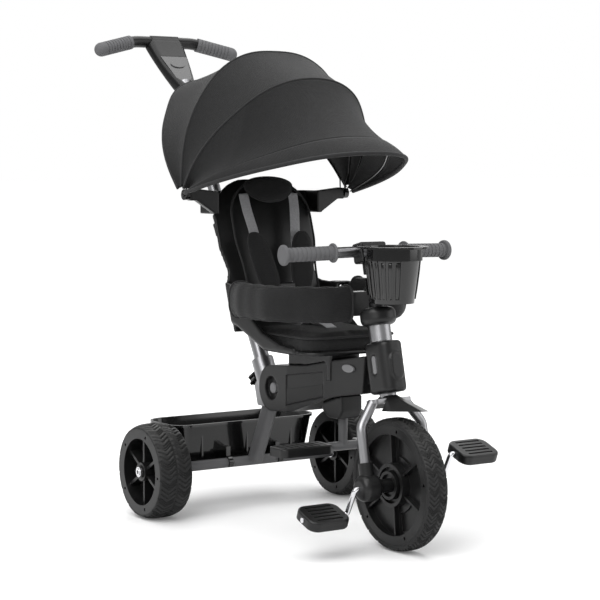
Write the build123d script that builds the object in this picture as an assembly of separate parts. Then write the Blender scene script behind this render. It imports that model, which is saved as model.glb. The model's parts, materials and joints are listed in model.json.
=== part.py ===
from build123d import *
import os
from math import atan2, cos, degrees, hypot, pi, radians, sin, tan

# Children's tricycle. Millimetres, +Z up, the rider looks along -Y, +X is the rider's left.
# The model is laid out from the middle of the rear axle, on the ground, and moved at the
# end so that the origin lies under the middle of its bounding box.

# ------------------------------------------------------------- driving dimensions
WHEEL_BASE = 523.0
TRACK = 470.0
RAKE = 12.8                    # lean of the steering axis, top backwards, degrees
RUNNING_FIT = 0.05             # radial clearance of a shaft in its bore
SLIP = 0.3                     # clearance between pieces that pass each other
SKIN = 0.3                     # clearance of soft pieces from their neighbours

REAR_RADIUS = 97.0
REAR_WIDTH = 72.5
FRONT_RADIUS = 125.0
FRONT_WIDTH = 43.0
MOULD_WALL = 4.0
WINDOW_FLOOR = 3.0             # thin floor of the front wheel's windows
TREAD_SHARE = 0.10             # radial depth of the tread band, share of the radius

AXLE_RADIUS = 7.0
AXLE_BORE = 3.6
CROSS_RADIUS = 10.5
CROSS_END_GAP = 3.0            # washer between the cross tube and each rear hub

CRANK_RADIUS = 5.0
CRANK_LENGTH = 53.0
CRANK_PHASE = -69.0            # direction of the right arm from +Y towards +Z, degrees
CRANK_EXIT = 94.0              # where the arms leave the axle line
PEDAL_INNER = 115.0
PEDAL_LENGTH = 88.0
PEDAL_DEPTH = 68.0
PEDAL_THICK = 20.0
PEDAL_TILT = 20.0

FORK_INNER = 50.0              # inner face of each fork end
FORK_END_WIDTH = 42.0
LEG_RADIUS = 9.5
LEG_SPREAD = 70.0
CROWN_SPREAD = 43.0
CROWN_HEIGHT = 153.0           # distance of the crown from the hub, along the axis
STEERER_RADIUS = 11.0
HEAD_BOTTOM = 171.0
HEAD_TOP = 268.0
HEAD_WIDTH = 50.0
HEAD_DEPTH = 72.0
BUSH_WALL = 4.0
COVER_RADIUS = 21.0
STEM_RADIUS = 34.0
STEM_BOTTOM = 300.0
STEM_TOP = 334.0
BAR_HEIGHT = 442.0
BAR_RADIUS = 10.5
BAR_HALF = 187.0
BAR_SWEEP = 12.0
GRIP_LENGTH = 108.0
GRIP_RADIUS = 13.5
GRIP_FLANGE = 19.5

CUP_Y = -500.0
CUP_BOTTOM = 463.0
CUP_HEIGHT = 106.0
CUP_TOP_RADIUS = 53.5
CUP_LOW_RADIUS = 40.0
CUP_WALL = 3.0
CUP_LIP = 13.0

HIP_Y = -141.0
HIP_Z = 268.0
HIP_RADIUS = 47.0
BODY_HALF = 43.0
NOSE_HALF = 26.0
SHELL_WALL = 3.5
BUTTON_RADIUS = 11.0
BUTTON_TRAVEL = 3.0

BEAM_WIDTH = 24.0
BEAM_HEIGHT = 32.0
BEAM_WALL = 2.0

POLE_FOOT_Y = -76.0
POLE_FOOT_Z = 245.0
POLE_LEAN = 29.1
POLE_RADIUS = 16.0
POLE_INNER = 13.5
POLE_LOWER = 420.0
POLE_TOP = 752.0
POLE_TUCK = 200.0              # length of the upper tube inside the lower one
SOCKET_WALL = 7.0
SOCKET_LENGTH = 86.0
KNOB_HEIGHT = 52.0             # of the clamp stud over the foot of the push tube
STUD_RADIUS = 4.0

HANDLE_HALF = 165.0
HANDLE_RADIUS = 15.5
HANDLE_MID = (390.0, 997.0)
HANDLE_END = (367.0, 972.0)

SEAT_FRONT = -385.0
SEAT_Z = 364.0
SEAT_HALF = 118.0
SEAT_WALL = 8.0
PAN_TURN = -238.0              # where the pan turns up towards the back
SEAT_PAD = 30.0
BACK_FOOT_Y = -124.0
BACK_FOOT_Z = 362.0
BACK_LEAN = 18.0
BACK_LENGTH = 360.0
BACK_PAD = 30.0

RING_Z = 455.0
RING_HALF = 150.0
RING_THICK = 30.0
RING_TALL = 58.0
RING_FRONT = -388.0
RING_HINGE_X = 134.0
RING_HINGE_Y = -150.0
RING_PIN = 4.0

CANOPY_Y = -58.0
CANOPY_Z = 660.0
CANOPY_HALF = 203.0
CLOTH = 3.0
BOW_RADIUS = 1.4
HUB_START = 187.3
HUB_STEP = 3.5
HUB_THICK = 3.2
HUB_RADIUS = 11.0
PIVOT_RADIUS = 4.0
BOW_FOOT = 40.0                # where the straight legs of the wire bows begin
PIVOT_CLEAR = 17.0             # how far from the pivot the cloth starts
# each hoop: angle from upright, forwards negative, height over the pivot, fullness of its corners
REAR_HOOP = (44.0, 336.0, 0.41)
MID_HOOP = (-6.0, 289.0, 0.51)
FRONT_HOOP = (-38.0, 290.0, 0.44)
VISOR_HOOP = (-71.5, 350.0, 0.39)
LIP_HOOP = (-78.0, 395.0, 0.42)

BIN_HALF = 178.0
BIN_FRONT = 20.0
BIN_BACK = 152.0
BIN_LOW = 95.0
BIN_TOP = 180.0
BIN_WALL = 2.5
BIN_TAPER = 20.0
BIN_CORNER = 42.0
HOOK_X = 61.0

FOOT_Y = -336.0
FOOT_Z = 172.5
FOOT_THICK = 17.0
FOOT_INNER = 37.0
FOOT_OUTER = 154.0
FOOT_AHEAD = 26.0
FOOT_BEHIND = 31.0
FOOT_BAR = 9.0
FOOT_PIN = 5.0

# ------------------------------------------------------------- frames of reference
HUB = (0, -WHEEL_BASE, FRONT_RADIUS)
STEER = Plane(origin=HUB, x_dir=(1, 0, 0), z_dir=(0, sin(radians(RAKE)), cos(radians(RAKE))))
LEAN = radians(POLE_LEAN)
POLE = Plane(origin=(0, POLE_FOOT_Y, POLE_FOOT_Z), x_dir=(1, 0, 0), z_dir=(0, sin(LEAN), cos(LEAN)))
TILT = radians(BACK_LEAN)
BACK = Plane(origin=(0, BACK_FOOT_Y, BACK_FOOT_Z), x_dir=(1, 0, 0), z_dir=(0, sin(TILT), cos(TILT)))
LOW = (Align.CENTER, Align.CENTER, Align.MIN)


# ------------------------------------------------------------- helpers
def shaft(radius, x0, x1, y=0.0, z=0.0):
    """Cylinder along X from x0 to x1."""
    return Pos((x0 + x1) / 2, y, z) * Rot(0, 90, 0) * Cylinder(radius, abs(x1 - x0))


def block(x0, x1, y0, y1, z0, z1):
    """Box between two opposite corners."""
    return Pos((x0 + x1) / 2, (y0 + y1) / 2, (z0 + z1) / 2) * Box(abs(x1 - x0), abs(y1 - y0), abs(z1 - z0))


def post(radius, z0, z1, x=0.0, y=0.0):
    """Cylinder along Z from z0 to z1."""
    return Pos(x, y, z0) * Cylinder(radius, z1 - z0, align=LOW)


def turned(points):
    """Solid of revolution about X from (x, radius) corners."""
    return revolve(make_face(Polyline(*points, close=True)), Axis.X)


def side_profile(points, half, radius=0.0):
    """Side view outline in (y, z), extruded to both sides of the middle plane."""
    outline = make_face(Polyline(*points, close=True))
    if radius:
        outline = fillet(outline.vertices(), radius)
    return extrude(Plane.YZ * outline, half, both=True)


def rounded_block(width, depth, height, radius):
    """Upright block on its base with rounded vertical edges."""
    return extrude(RectangleRounded(width, depth, radius), height)


def mirrored(solid):
    """The same piece on the other side."""
    return mirror(solid, about=Plane.YZ)


def pair(solid):
    """Both sides of a piece as one group."""
    return Compound([*solid.solids(), *mirrored(solid).solids()])


def group(*pieces):
    """Separate solids kept in one node."""
    return Compound([solid for piece in pieces for solid in piece.solids()])


def swept_rod(corners, bends, radius):
    """Round rod along straight runs with rounded bends."""
    path = FilletPolyline(*corners, radius=bends)
    section = Plane(origin=path @ 0, z_dir=path % 0) * Circle(radius)
    return sweep(section, path=path)


# ------------------------------------------------------------- wheels
def tyre(radius, width, crown):
    """Tread band of a wheel about X at the origin."""
    inner = radius * (1 - TREAD_SHARE)
    half = width / 2
    outline = [
        Line((-half, inner), (-half, radius - crown)),
        ThreePointArc((-half, radius - crown), (0, radius), (half, radius - crown)),
        Line((half, radius - crown), (half, inner)),
        Line((half, inner), (-half, inner)),
    ]
    return revolve(make_face(outline), Axis.X)


def rear_rim():
    """Moulded rear wheel core: flat outer ring, recessed web, six ribs and a hub."""
    outer = REAR_RADIUS * (1 - TREAD_SHARE)
    recess = REAR_RADIUS * 0.70
    half = REAR_WIDTH / 2
    web = 4.0
    hub = 19.0
    wall = MOULD_WALL
    core = turned([(-half, recess), (-half, outer), (half, outer), (half, recess)])
    core -= turned([
        (-half + 1.5 * wall, recess + wall), (-half + 1.5 * wall, outer + 1),
        (half - 1.5 * wall, outer + 1), (half - 1.5 * wall, recess + wall)])
    core += turned([(-web, hub - 2), (-web, recess + 1), (web, recess + 1), (web, hub - 2)])
    core += shaft(hub, -half + 3, half - 3)
    core += shaft(hub - 6, -half, half)
    for k in range(6):
        rib = block(-half + 10, half - 10, -3, 3, hub - 2, recess + 2)
        core += Rot(60 * k, 0, 0) * rib
    for k in range(5):
        slot = block(-half - 1, -half + 5, -2.5, 2.5, outer * 0.885 - 3, outer * 0.885 + 3)
        core -= Rot(72 * k + 20, 0, 0) * slot
        core -= mirrored(Rot(72 * k + 20, 0, 0) * slot)
    return core - shaft(AXLE_RADIUS + RUNNING_FIT, -half - 1, half + 1)


def front_rim():
    """Front wheel disc: flat outer ring, web with three sunk panels, stepped hub."""
    outer = FRONT_RADIUS * (1 - TREAD_SHARE)
    ring = FRONT_RADIUS * 0.76
    half = FRONT_WIDTH / 2 - 1
    web = 5.0
    hub_outer = 41.0
    hub_inner = 27.0
    wall = MOULD_WALL
    core = turned([(-half, ring), (-half, outer), (half, outer), (half, ring)])
    core -= turned([
        (-half + 1.5 * wall, ring + wall), (-half + 1.5 * wall, outer + 1),
        (half - 1.5 * wall, outer + 1), (half - 1.5 * wall, ring + wall)])
    core += turned([(-web, 10), (-web, ring + 1), (web, ring + 1), (web, 10)])
    core += shaft(hub_outer, -half - 2, half + 2)
    core -= shaft(hub_outer - 7, half - 6, half + 3) + shaft(hub_outer - 7, -half - 3, -half + 6)
    core += shaft(hub_inner, -half - 6, half + 6)
    core -= shaft(hub_inner - 6, half, half + 7) + shaft(hub_inner - 6, -half - 7, -half)
    core += shaft(13, -FORK_INNER + 0.5, FORK_INNER - 0.5)
    for k in range(3):
        window = extrude(Plane.YZ * make_face(window_outline(hub_outer + 13, ring - 7, 22)), 30, both=True)
        window -= shaft(ring, -WINDOW_FLOOR / 2, WINDOW_FLOOR / 2)
        core -= Rot(120 * k + 25, 0, 0) * window
    for k in range(6):
        rib = block(-half + 5, half - 5, -2, 2, hub_outer - 1, ring + 1)
        core += Rot(60 * k - 5, 0, 0) * rib
    for k in range(5):
        slot = block(-half - 1, -half + 4, -2.5, 2.5, outer * 0.92 - 3, outer * 0.92 + 3)
        core -= Rot(72 * k + 10, 0, 0) * slot
        core -= mirrored(Rot(72 * k + 10, 0, 0) * slot)
    return core - shaft(CRANK_RADIUS + RUNNING_FIT, -FORK_INNER, FORK_INNER)


def window_outline(inner, outer, spread):
    """Closed window between two radii, spread degrees to each side of upright."""
    a = radians(spread)
    left_in = (-inner * sin(a), inner * cos(a))
    right_in = (inner * sin(a), inner * cos(a))
    left_out = (-outer * sin(a), outer * cos(a))
    right_out = (outer * sin(a), outer * cos(a))
    return [
        ThreePointArc(left_in, (0, inner), right_in),
        Line(right_in, right_out),
        ThreePointArc(right_out, (0, outer), left_out),
        Line(left_out, left_in),
    ]


def rear_tyre(side):
    return Pos(side * TRACK / 2, 0, REAR_RADIUS) * tyre(REAR_RADIUS, REAR_WIDTH, 9)


def rear_wheel_core(side):
    return Pos(side * TRACK / 2, 0, REAR_RADIUS) * rear_rim()


def front_tyre():
    return Pos(*HUB) * tyre(FRONT_RADIUS, FRONT_WIDTH, 6)


def front_wheel_core():
    return Pos(*HUB) * front_rim()


def rear_axle():
    end = TRACK / 2 + REAR_WIDTH / 2 + 4
    return shaft(AXLE_RADIUS, -end, end, 0, REAR_RADIUS) - shaft(AXLE_BORE, -end, end, 0, REAR_RADIUS)


def rear_frame():
    """Welded rear frame: cross tube around the axle and the flat oval post."""
    end = TRACK / 2 - REAR_WIDTH / 2 - CROSS_END_GAP
    frame = shaft(CROSS_RADIUS, -end, end, 0, REAR_RADIUS) + post_solid()
    return frame - shaft(AXLE_RADIUS, -end, end, 0, REAR_RADIUS)


def axle_rings():
    """Thrust washers inside the rear hubs and push-on retaining rings outside them."""
    hub_face = TRACK / 2 - REAR_WIDTH / 2
    washer = shaft(12, hub_face - CROSS_END_GAP, hub_face - SLIP, 0, REAR_RADIUS)
    end_face = TRACK / 2 + REAR_WIDTH / 2
    clip = shaft(10.5, end_face + SLIP, end_face + 2.5, 0, REAR_RADIUS)
    axle = shaft(AXLE_RADIUS, 0, end_face + 10, 0, REAR_RADIUS)
    return group(pair(washer - axle), pair(clip - axle))


# ------------------------------------------------------------- fork and column
def fork():
    """Welded steel fork: crown, two bent legs and the steering tube."""
    low = 34.0
    knee = 112.0
    corners = [(CROWN_SPREAD - 6, 0, CROWN_HEIGHT + 3), (LEG_SPREAD, 0, knee), (LEG_SPREAD, 0, low)]
    leg = swept_rod(corners, 26, LEG_RADIUS)
    crown = Pos(0, 0, CROWN_HEIGHT) * rounded_block(2 * CROWN_SPREAD, 34, 8, 8)
    solid = crown + leg + mirrored(leg)
    top = BAR_HEIGHT - BAR_RADIUS
    solid += post(16, CROWN_HEIGHT, HEAD_BOTTOM - SLIP) + post(STEERER_RADIUS, CROWN_HEIGHT, top)
    solid -= post(STEERER_RADIUS - 2, CROWN_HEIGHT - 1, top + 1)
    return STEER * solid


def fork_ends():
    """Rounded plastic ends that clamp the legs and carry the pedal axle."""
    middle = FORK_INNER + FORK_END_WIDTH / 2
    ball = Pos(middle, 0, 0) * Rot(0, 90, 0) * Cylinder(25, FORK_END_WIDTH)
    ball = fillet(ball.edges(), 12)
    socket = post(14, 0, 46, LEG_SPREAD) - post(LEG_RADIUS + 0.05, 34, 50, LEG_SPREAD)
    end = ball + socket
    end -= shaft(CRANK_RADIUS + RUNNING_FIT, FORK_INNER - 1, FORK_INNER + FORK_END_WIDTH + 1)
    return pair(STEER * end)


def column_cover():
    """Bright sleeve between the head and the stem cover."""
    solid = post(COVER_RADIUS, HEAD_TOP + 1, STEM_BOTTOM) - post(STEERER_RADIUS, HEAD_TOP, STEM_BOTTOM + 1)
    return STEER * solid


def stem_cover():
    """Rounded clamp cover around the column under the cup."""
    solid = post(STEM_RADIUS, STEM_BOTTOM, STEM_TOP)
    solid = fillet(solid.edges(), 12)
    solid += post(STEERER_RADIUS + 3, STEM_BOTTOM + 5, STEM_TOP + 10)
    solid -= post(STEERER_RADIUS, STEM_BOTTOM - 1, STEM_TOP + 20)
    return STEER * solid


def bar_corners():
    """Middle line of the handlebar in the steering frame, swept back at both ends."""
    straight = BAR_HALF - GRIP_LENGTH
    tip = (BAR_HALF, BAR_SWEEP, BAR_HEIGHT)
    bend = (straight * 0.5, 0, BAR_HEIGHT)
    return [(-tip[0], tip[1], tip[2]), (-bend[0], 0, BAR_HEIGHT), bend, tip]


def handlebar():
    return STEER * swept_rod(bar_corners(), 40, BAR_RADIUS)


def bar_clamp():
    """Clamp that joins the handlebar to the steering tube, with the tongue of the cup holder."""
    solid = post(17, BAR_HEIGHT - 42, BAR_HEIGHT - BAR_RADIUS)
    solid += fillet(block(-30, 30, -16, 16, BAR_HEIGHT - 22, BAR_HEIGHT + 17).edges(), 5)
    solid -= post(STEERER_RADIUS, BAR_HEIGHT - 50, BAR_HEIGHT - BAR_RADIUS)
    solid -= swept_rod(bar_corners(), 40, BAR_RADIUS)
    return STEER * solid


def grip():
    """Left grip with two flanges, bored for the bar."""
    dx = BAR_HALF - (BAR_HALF - GRIP_LENGTH) * 0.5
    turn = degrees(atan2(BAR_SWEEP, dx))
    place = Pos(BAR_HALF, BAR_SWEEP, BAR_HEIGHT) * Rot(0, 0, turn)
    body = shaft(GRIP_RADIUS, -GRIP_LENGTH, 0)
    body += fillet(shaft(GRIP_FLANGE, -5, 3).edges(), 3)
    body += fillet(shaft(GRIP_FLANGE - 1, -GRIP_LENGTH, -GRIP_LENGTH + 5).edges(), 2)
    for k in range(9):
        at = -GRIP_LENGTH + 16 + k * 9.5
        body -= shaft(GRIP_RADIUS + 1, at, at + 2.5) - shaft(GRIP_RADIUS - 0.8, at, at + 2.5)
    body -= shaft(BAR_RADIUS, -GRIP_LENGTH - 1, 0)
    return STEER * (place * body)


def cup_holder():
    """Round cup with a flared lip, upright in front of the column."""
    lip = CUP_TOP_RADIUS + CUP_LIP
    outer = loft([Circle(CUP_LOW_RADIUS), Pos(0, 0, CUP_HEIGHT) * Circle(CUP_TOP_RADIUS)])
    outer += Pos(0, 0, CUP_HEIGHT - 26) * Cylinder(CUP_TOP_RADIUS + 1.5, 26, align=LOW)
    outer += Pos(0, 0, CUP_HEIGHT - 4) * Cylinder(lip, 4, align=LOW)
    inner = loft([
        Pos(0, 0, CUP_WALL) * Circle(CUP_LOW_RADIUS - CUP_WALL),
        Pos(0, 0, CUP_HEIGHT) * Circle(CUP_TOP_RADIUS - CUP_WALL),
    ])
    ribs = loft([Circle(CUP_LOW_RADIUS + 2), Pos(0, 0, CUP_HEIGHT) * Circle(CUP_TOP_RADIUS + 2)])
    fins = [
        Rot(0, 0, 18 * k) * block(CUP_LOW_RADIUS - 2, CUP_TOP_RADIUS + 4, -1.5, 1.5, 8, CUP_HEIGHT - 24)
        for k in range(20)
        if abs((18 * k - 290 + 180) % 360 - 180) > 30
    ]
    outer += ribs & Compound([solid for fin in fins for solid in fin.solids()])
    holder = Pos(0, CUP_Y, CUP_BOTTOM) * (outer - inner)
    holder -= column_room(2.0)
    return holder + cup_tongue()


def column_room(clearance):
    """Space that the column and the handlebar clamp take, grown by a clearance."""
    room = post(17 + clearance, BAR_HEIGHT - 44, BAR_HEIGHT + 40)
    room += post(STEERER_RADIUS + 3 + clearance, STEM_BOTTOM, BAR_HEIGHT)
    room += post(STEM_RADIUS + clearance, STEM_BOTTOM, STEM_TOP)
    room += block(-31 - clearance, 31 + clearance, -16 - clearance, 60, BAR_HEIGHT - 24, BAR_HEIGHT + 40)
    return STEER * room


def cup_tongue():
    """Collar on the steering tube with a tongue that carries the cup."""
    low = BAR_HEIGHT - 82
    solid = post(STEERER_RADIUS + 4, low, low + 30)
    solid += block(-16, 16, -26, -6, low + 4, low + 26)
    solid -= post(STEERER_RADIUS, low - 1, low + 31)
    inside = Pos(0, CUP_Y, CUP_BOTTOM) * loft([
        Circle(CUP_LOW_RADIUS - CUP_WALL),
        Pos(0, 0, CUP_HEIGHT) * Circle(CUP_TOP_RADIUS - CUP_WALL),
    ])
    return (STEER * solid) - inside


def mudguard():
    """Domed guard over the front wheel with a beak in front, shaped around the fork crown."""
    neck = 166.0
    brim = Plane(origin=(0, 0, 140), x_dir=(1, 0, 0), z_dir=(0, -sin(radians(7.9)), cos(radians(7.9))))
    outline = make_face(Polyline(
        (-34, 20), (-22, 50), (22, 50), (34, 20), (30, -50), (7, -114), (-7, -114), (-30, -50), close=True))
    outline = fillet(outline.vertices(), 6)
    ring = make_face(Polyline(
        (-15, 8), (-9, 17), (9, 17), (15, 8), (14, -10), (5, -20), (-5, -20), (-14, -10), close=True))
    ring = fillet(ring.vertices(), 4)
    outer = loft([brim * outline, Pos(0, 0, neck) * ring], ruled=True)
    inner = Pos(0, 0, -3.5) * outer
    shade = outer - inner
    shade -= post(STEERER_RADIUS + 5.3, 100, neck + 5)
    shade -= block(-60, 60, -18, 18, 100, CROWN_HEIGHT + 8.3)
    return STEER * shade


def crank():
    """One-piece pedal axle with two opposed arms and pedal pins."""
    tip = PEDAL_INNER + PEDAL_LENGTH + 2
    corners = [
        (-tip, CRANK_LENGTH, 0),
        (-PEDAL_INNER + 9, CRANK_LENGTH, 0),
        (-CRANK_EXIT - 6, 0, 0),
        (CRANK_EXIT + 6, 0, 0),
        (PEDAL_INNER - 9, -CRANK_LENGTH, 0),
        (tip, -CRANK_LENGTH, 0),
    ]
    rod = swept_rod(corners, 7, CRANK_RADIUS)
    return Pos(*HUB) * Rot(CRANK_PHASE, 0, 0) * rod


def pedal(side):
    """Rounded pedal with grooved faces, bored for its pin. Side -1 is the rider's right."""
    y = -WHEEL_BASE - side * CRANK_LENGTH * cos(radians(CRANK_PHASE))
    z = FRONT_RADIUS - side * CRANK_LENGTH * sin(radians(CRANK_PHASE))
    half = PEDAL_THICK / 2
    pad = Pos(0, 0, -half) * rounded_block(PEDAL_LENGTH, PEDAL_DEPTH, PEDAL_THICK, 20)
    pad = fillet(pad.faces().sort_by(Axis.Z)[-1].edges(), 4)
    pad = fillet(pad.faces().sort_by(Axis.Z)[0].edges(), 4)
    for k in range(-2, 3):
        groove = block(-28, 28, k * 11 - 2.5, k * 11 + 2.5, half - 2, half + 1)
        pad -= groove + mirror(groove, about=Plane.XY)
    pad -= shaft(CRANK_RADIUS + RUNNING_FIT, -PEDAL_LENGTH, PEDAL_LENGTH)
    middle = side * (PEDAL_INNER + PEDAL_LENGTH / 2)
    return Pos(middle, y, z) * Rot(PEDAL_TILT, 0, 0) * pad


# ------------------------------------------------------------- body
def body_outline(inset):
    """Side view of the body in (y, z) with all its edges moved in by inset."""
    beam = make_face(Polyline(
        (HIP_Y, HIP_Z + HIP_RADIUS), (-262, 325), (-350, 343), (-447, 360),
        (-440, 288), (-350, 272), (-270, 247), (-215, 228), (HIP_Y, HIP_Z - HIP_RADIUS), close=True))
    outline = beam + Pos(HIP_Y, HIP_Z) * Circle(HIP_RADIUS)
    if inset:
        outline = offset(outline, -inset)
    return outline


def body_solid(inset):
    """Body between its side view and its tapered plan view, moved in by inset."""
    side = extrude(Plane.YZ * body_outline(inset), BODY_HALF - inset, both=True)
    plan = make_face(Polyline(
        (BODY_HALF - inset, -80), (BODY_HALF - inset, -200), (NOSE_HALF + 6 - inset, -350),
        (NOSE_HALF - inset, -460), (-NOSE_HALF + inset, -460), (-NOSE_HALF - 6 + inset, -350),
        (-BODY_HALF + inset, -200), (-BODY_HALF + inset, -80), close=True))
    return side & extrude(plan, 500)


def head_solid(clearance=0.0):
    """Outside of the steering head in the steering frame."""
    width = HEAD_WIDTH + 2 * clearance
    depth = HEAD_DEPTH + 2 * clearance
    low = HEAD_BOTTOM - clearance
    return Pos(0, -4, low) * rounded_block(width, depth, HEAD_TOP - low + clearance, 18 + clearance)


def steering_head():
    """Moulded head around the steerer bushes, with a pad boss in front."""
    solid = fillet(head_solid().faces().sort_by(Axis.Z)[-1].edges(), 7)
    solid = fillet(solid.faces().sort_by(Axis.Z)[0].edges(), 7)
    mid = (HEAD_BOTTOM + HEAD_TOP) / 2
    pad = Pos(0, -4 - HEAD_DEPTH / 2, mid) * Rot(90, 0, 0) * SlotOverall(52, 26, rotation=90)
    solid += Pos(0, 3, 0) * extrude(pad, 6, both=True)
    bore = STEERER_RADIUS + BUSH_WALL
    solid -= post(bore, HEAD_BOTTOM - 1, HEAD_TOP + 1)
    for side in (-1, 1):
        inset = Pos(side * HEAD_WIDTH / 2, -2, mid + 6) * Rot(0, 90, 0) * SlotOverall(38, 15)
        solid -= extrude(inset, 4, both=True)
    return (STEER * solid) - beam_solid()


def head_insets():
    """Light oval inserts in the sides of the head."""
    mid = (HEAD_BOTTOM + HEAD_TOP) / 2
    oval = Pos(HEAD_WIDTH / 2 - 4, -2, mid + 6) * Rot(0, 90, 0) * SlotOverall(34, 11)
    return pair(STEER * extrude(oval, 3.5))


def steering_bushes():
    """Two flanged bushes that the steerer turns in."""
    bore = STEERER_RADIUS + RUNNING_FIT
    outer = STEERER_RADIUS + BUSH_WALL
    low = post(outer, HEAD_BOTTOM, HEAD_BOTTOM + 16) - post(bore, HEAD_BOTTOM - 1, HEAD_BOTTOM + 17)
    top = post(outer, HEAD_TOP - 16, HEAD_TOP) - post(bore, HEAD_TOP - 17, HEAD_TOP + 1)
    return group(STEER * low, STEER * top)


def beam_line():
    """Axis of the inner steel beam, from the yoke to the head."""
    return (-128.0, 262.0), (-462.0, 326.0)


def beam_box(grow, inset=0.0):
    """Box around the beam, grown all round, or its hollow when inset."""
    (y0, z0), (y1, z1) = beam_line()
    angle = degrees(atan2(z1 - z0, y1 - y0))
    length = hypot(y1 - y0, z1 - z0)
    width = BEAM_WIDTH + 2 * (grow - inset)
    height = BEAM_HEIGHT + 2 * (grow - inset)
    bar = Rot(angle, 0, 0) * Pos(0, length / 2 + inset, 0) * Box(width, length + 2 * grow, height)
    return Pos(0, y0, z0) * bar


def beam_solid():
    """Flat steel beam inside the body."""
    bore = STEER * post(STEERER_RADIUS + BUSH_WALL + 1, HEAD_BOTTOM, HEAD_TOP)
    return beam_box(0.0) - bore


def frame_spine():
    """Steel beam welded to the yoke that holds the rear post and the push tube."""
    return (beam_solid() - beam_box(0.0, BEAM_WALL)) + rear_yoke()


def post_solid(grow=0.0):
    """Flat oval rear post from the yoke down to the cross tube."""
    top = (-71.5, 227.0)
    foot = (-9.0, REAR_RADIUS + 5)
    run = (top[0] - foot[0], top[1] - foot[1])
    length = hypot(*run)
    plane = Plane(origin=(0, foot[0], foot[1]), x_dir=(1, 0, 0), z_dir=(0, run[0] / length, run[1] / length))
    return plane * extrude(SlotOverall(38 + 2 * grow, 25 + 2 * grow, rotation=90), length)


def rear_yoke():
    """Casting that joins the beam, the rear post and the pole socket."""
    sleeve = post(POLE_RADIUS + SOCKET_WALL, -6, SOCKET_LENGTH - 6)
    lug = side_profile([(-126, 242), (-126, 290), (-70, 296), (-40, 262), (-52, 222), (-96, 222)], 21, 6)
    solid = (POLE * sleeve) + lug
    solid -= POLE * post(POLE_RADIUS + 0.05, 0, SOCKET_LENGTH + 20)
    solid -= post_solid()
    solid -= POLE * (Pos(0, 0, KNOB_HEIGHT) * Rot(-90, 0, 0) * Cylinder(STUD_RADIUS + 0.4, 60, align=LOW))
    return solid


def clamp_knob():
    """Star knob with a stud that clamps the lower push tube."""
    start = POLE_RADIUS + SOCKET_WALL + 6
    grip_body = Cylinder(17, 18, align=LOW)
    for k in range(6):
        lobe = Pos(19 * cos(radians(60 * k)), 19 * sin(radians(60 * k)), -1) * Cylinder(6.5, 20, align=LOW)
        grip_body -= lobe
    knob = Pos(0, 0, start) * grip_body
    knob += Pos(0, 0, POLE_RADIUS + 0.4) * Cylinder(STUD_RADIUS, 20, align=LOW)
    return POLE * (Pos(0, 0, KNOB_HEIGHT) * Rot(-90, 0, 0) * knob)


def pole_lower():
    """Outer push tube, fixed in the yoke."""
    solid = post(POLE_RADIUS, 0, POLE_LOWER) - post(POLE_INNER + RUNNING_FIT, 8, POLE_LOWER + 1)
    hole = Pos(0, 0, POLE_LOWER - 24) * Rot(-90, 0, 0) * Cylinder(6.3, 30, align=LOW)
    return POLE * (solid - hole)


def pole_collar():
    """Plastic collar on top of the outer tube, with the button housing."""
    solid = post(POLE_RADIUS + 4, POLE_LOWER - 44, POLE_LOWER + 3)
    solid = fillet(solid.edges(), 1.5)
    solid += Pos(0, POLE_RADIUS + 4, POLE_LOWER - 24) * Box(22, 16, 30)
    solid -= post(POLE_RADIUS, POLE_LOWER - 50, POLE_LOWER)
    solid -= post(POLE_INNER + 1, POLE_LOWER - 1, POLE_LOWER + 5)
    solid -= Pos(0, 0, POLE_LOWER - 24) * Rot(-90, 0, 0) * Cylinder(6.3, 40, align=LOW)
    return POLE * solid


def height_button():
    """Sprung button that locks the upper tube at a height."""
    solid = Pos(0, 0, POLE_INNER + 0.4 + BUTTON_TRAVEL) * Cylinder(6.0, 16, align=LOW)
    return POLE * (Pos(0, 0, POLE_LOWER - 24) * Rot(-90, 0, 0) * solid)


def pole_upper():
    """Inner push tube that slides in the outer one."""
    low = POLE_LOWER - POLE_TUCK
    return POLE * (post(POLE_INNER, low, POLE_TOP) - post(POLE_INNER - 1.5, low - 1, POLE_TOP - 30))


def handle_frame():
    """Frame of the bow: origin at its crown, X across, Z up the lean of its plane."""
    rise = HANDLE_MID[1] - HANDLE_END[1]
    run = HANDLE_MID[0] - HANDLE_END[0]
    lean = atan2(run, rise)
    return Plane(origin=(0, *HANDLE_MID), x_dir=(1, 0, 0), z_dir=(0, sin(lean), cos(lean)))


def handle_drop():
    return hypot(HANDLE_MID[0] - HANDLE_END[0], HANDLE_MID[1] - HANDLE_END[1])


def push_handle():
    """Bow bar, bent down towards both ends, with rounded tips."""
    drop = handle_drop()
    corners = [(-HANDLE_HALF, 0, -drop), (-HANDLE_HALF * 0.45, 0, -4), (HANDLE_HALF * 0.45, 0, -4), (HANDLE_HALF, 0, -drop)]
    bar = swept_rod(corners, 90, HANDLE_RADIUS - 2.5)
    return handle_frame() * bar


def handle_grips():
    """Ribbed sleeves on both ends of the bow."""
    drop = handle_drop()
    dx = HANDLE_HALF * 0.55
    turn = degrees(atan2(drop - 4, dx))
    sleeve = shaft(HANDLE_RADIUS, -84, 0)
    sleeve += Sphere(HANDLE_RADIUS)
    for k in range(9):
        at = -76 + k * 8
        sleeve -= shaft(HANDLE_RADIUS + 1, at, at + 2.2) - shaft(HANDLE_RADIUS - 1, at, at + 2.2)
    sleeve -= shaft(HANDLE_RADIUS - 2.5, -90, 0)
    place = Pos(HANDLE_HALF, 0, -drop) * Rot(0, turn, 0)
    return pair(handle_frame() * (place * sleeve))


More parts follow.
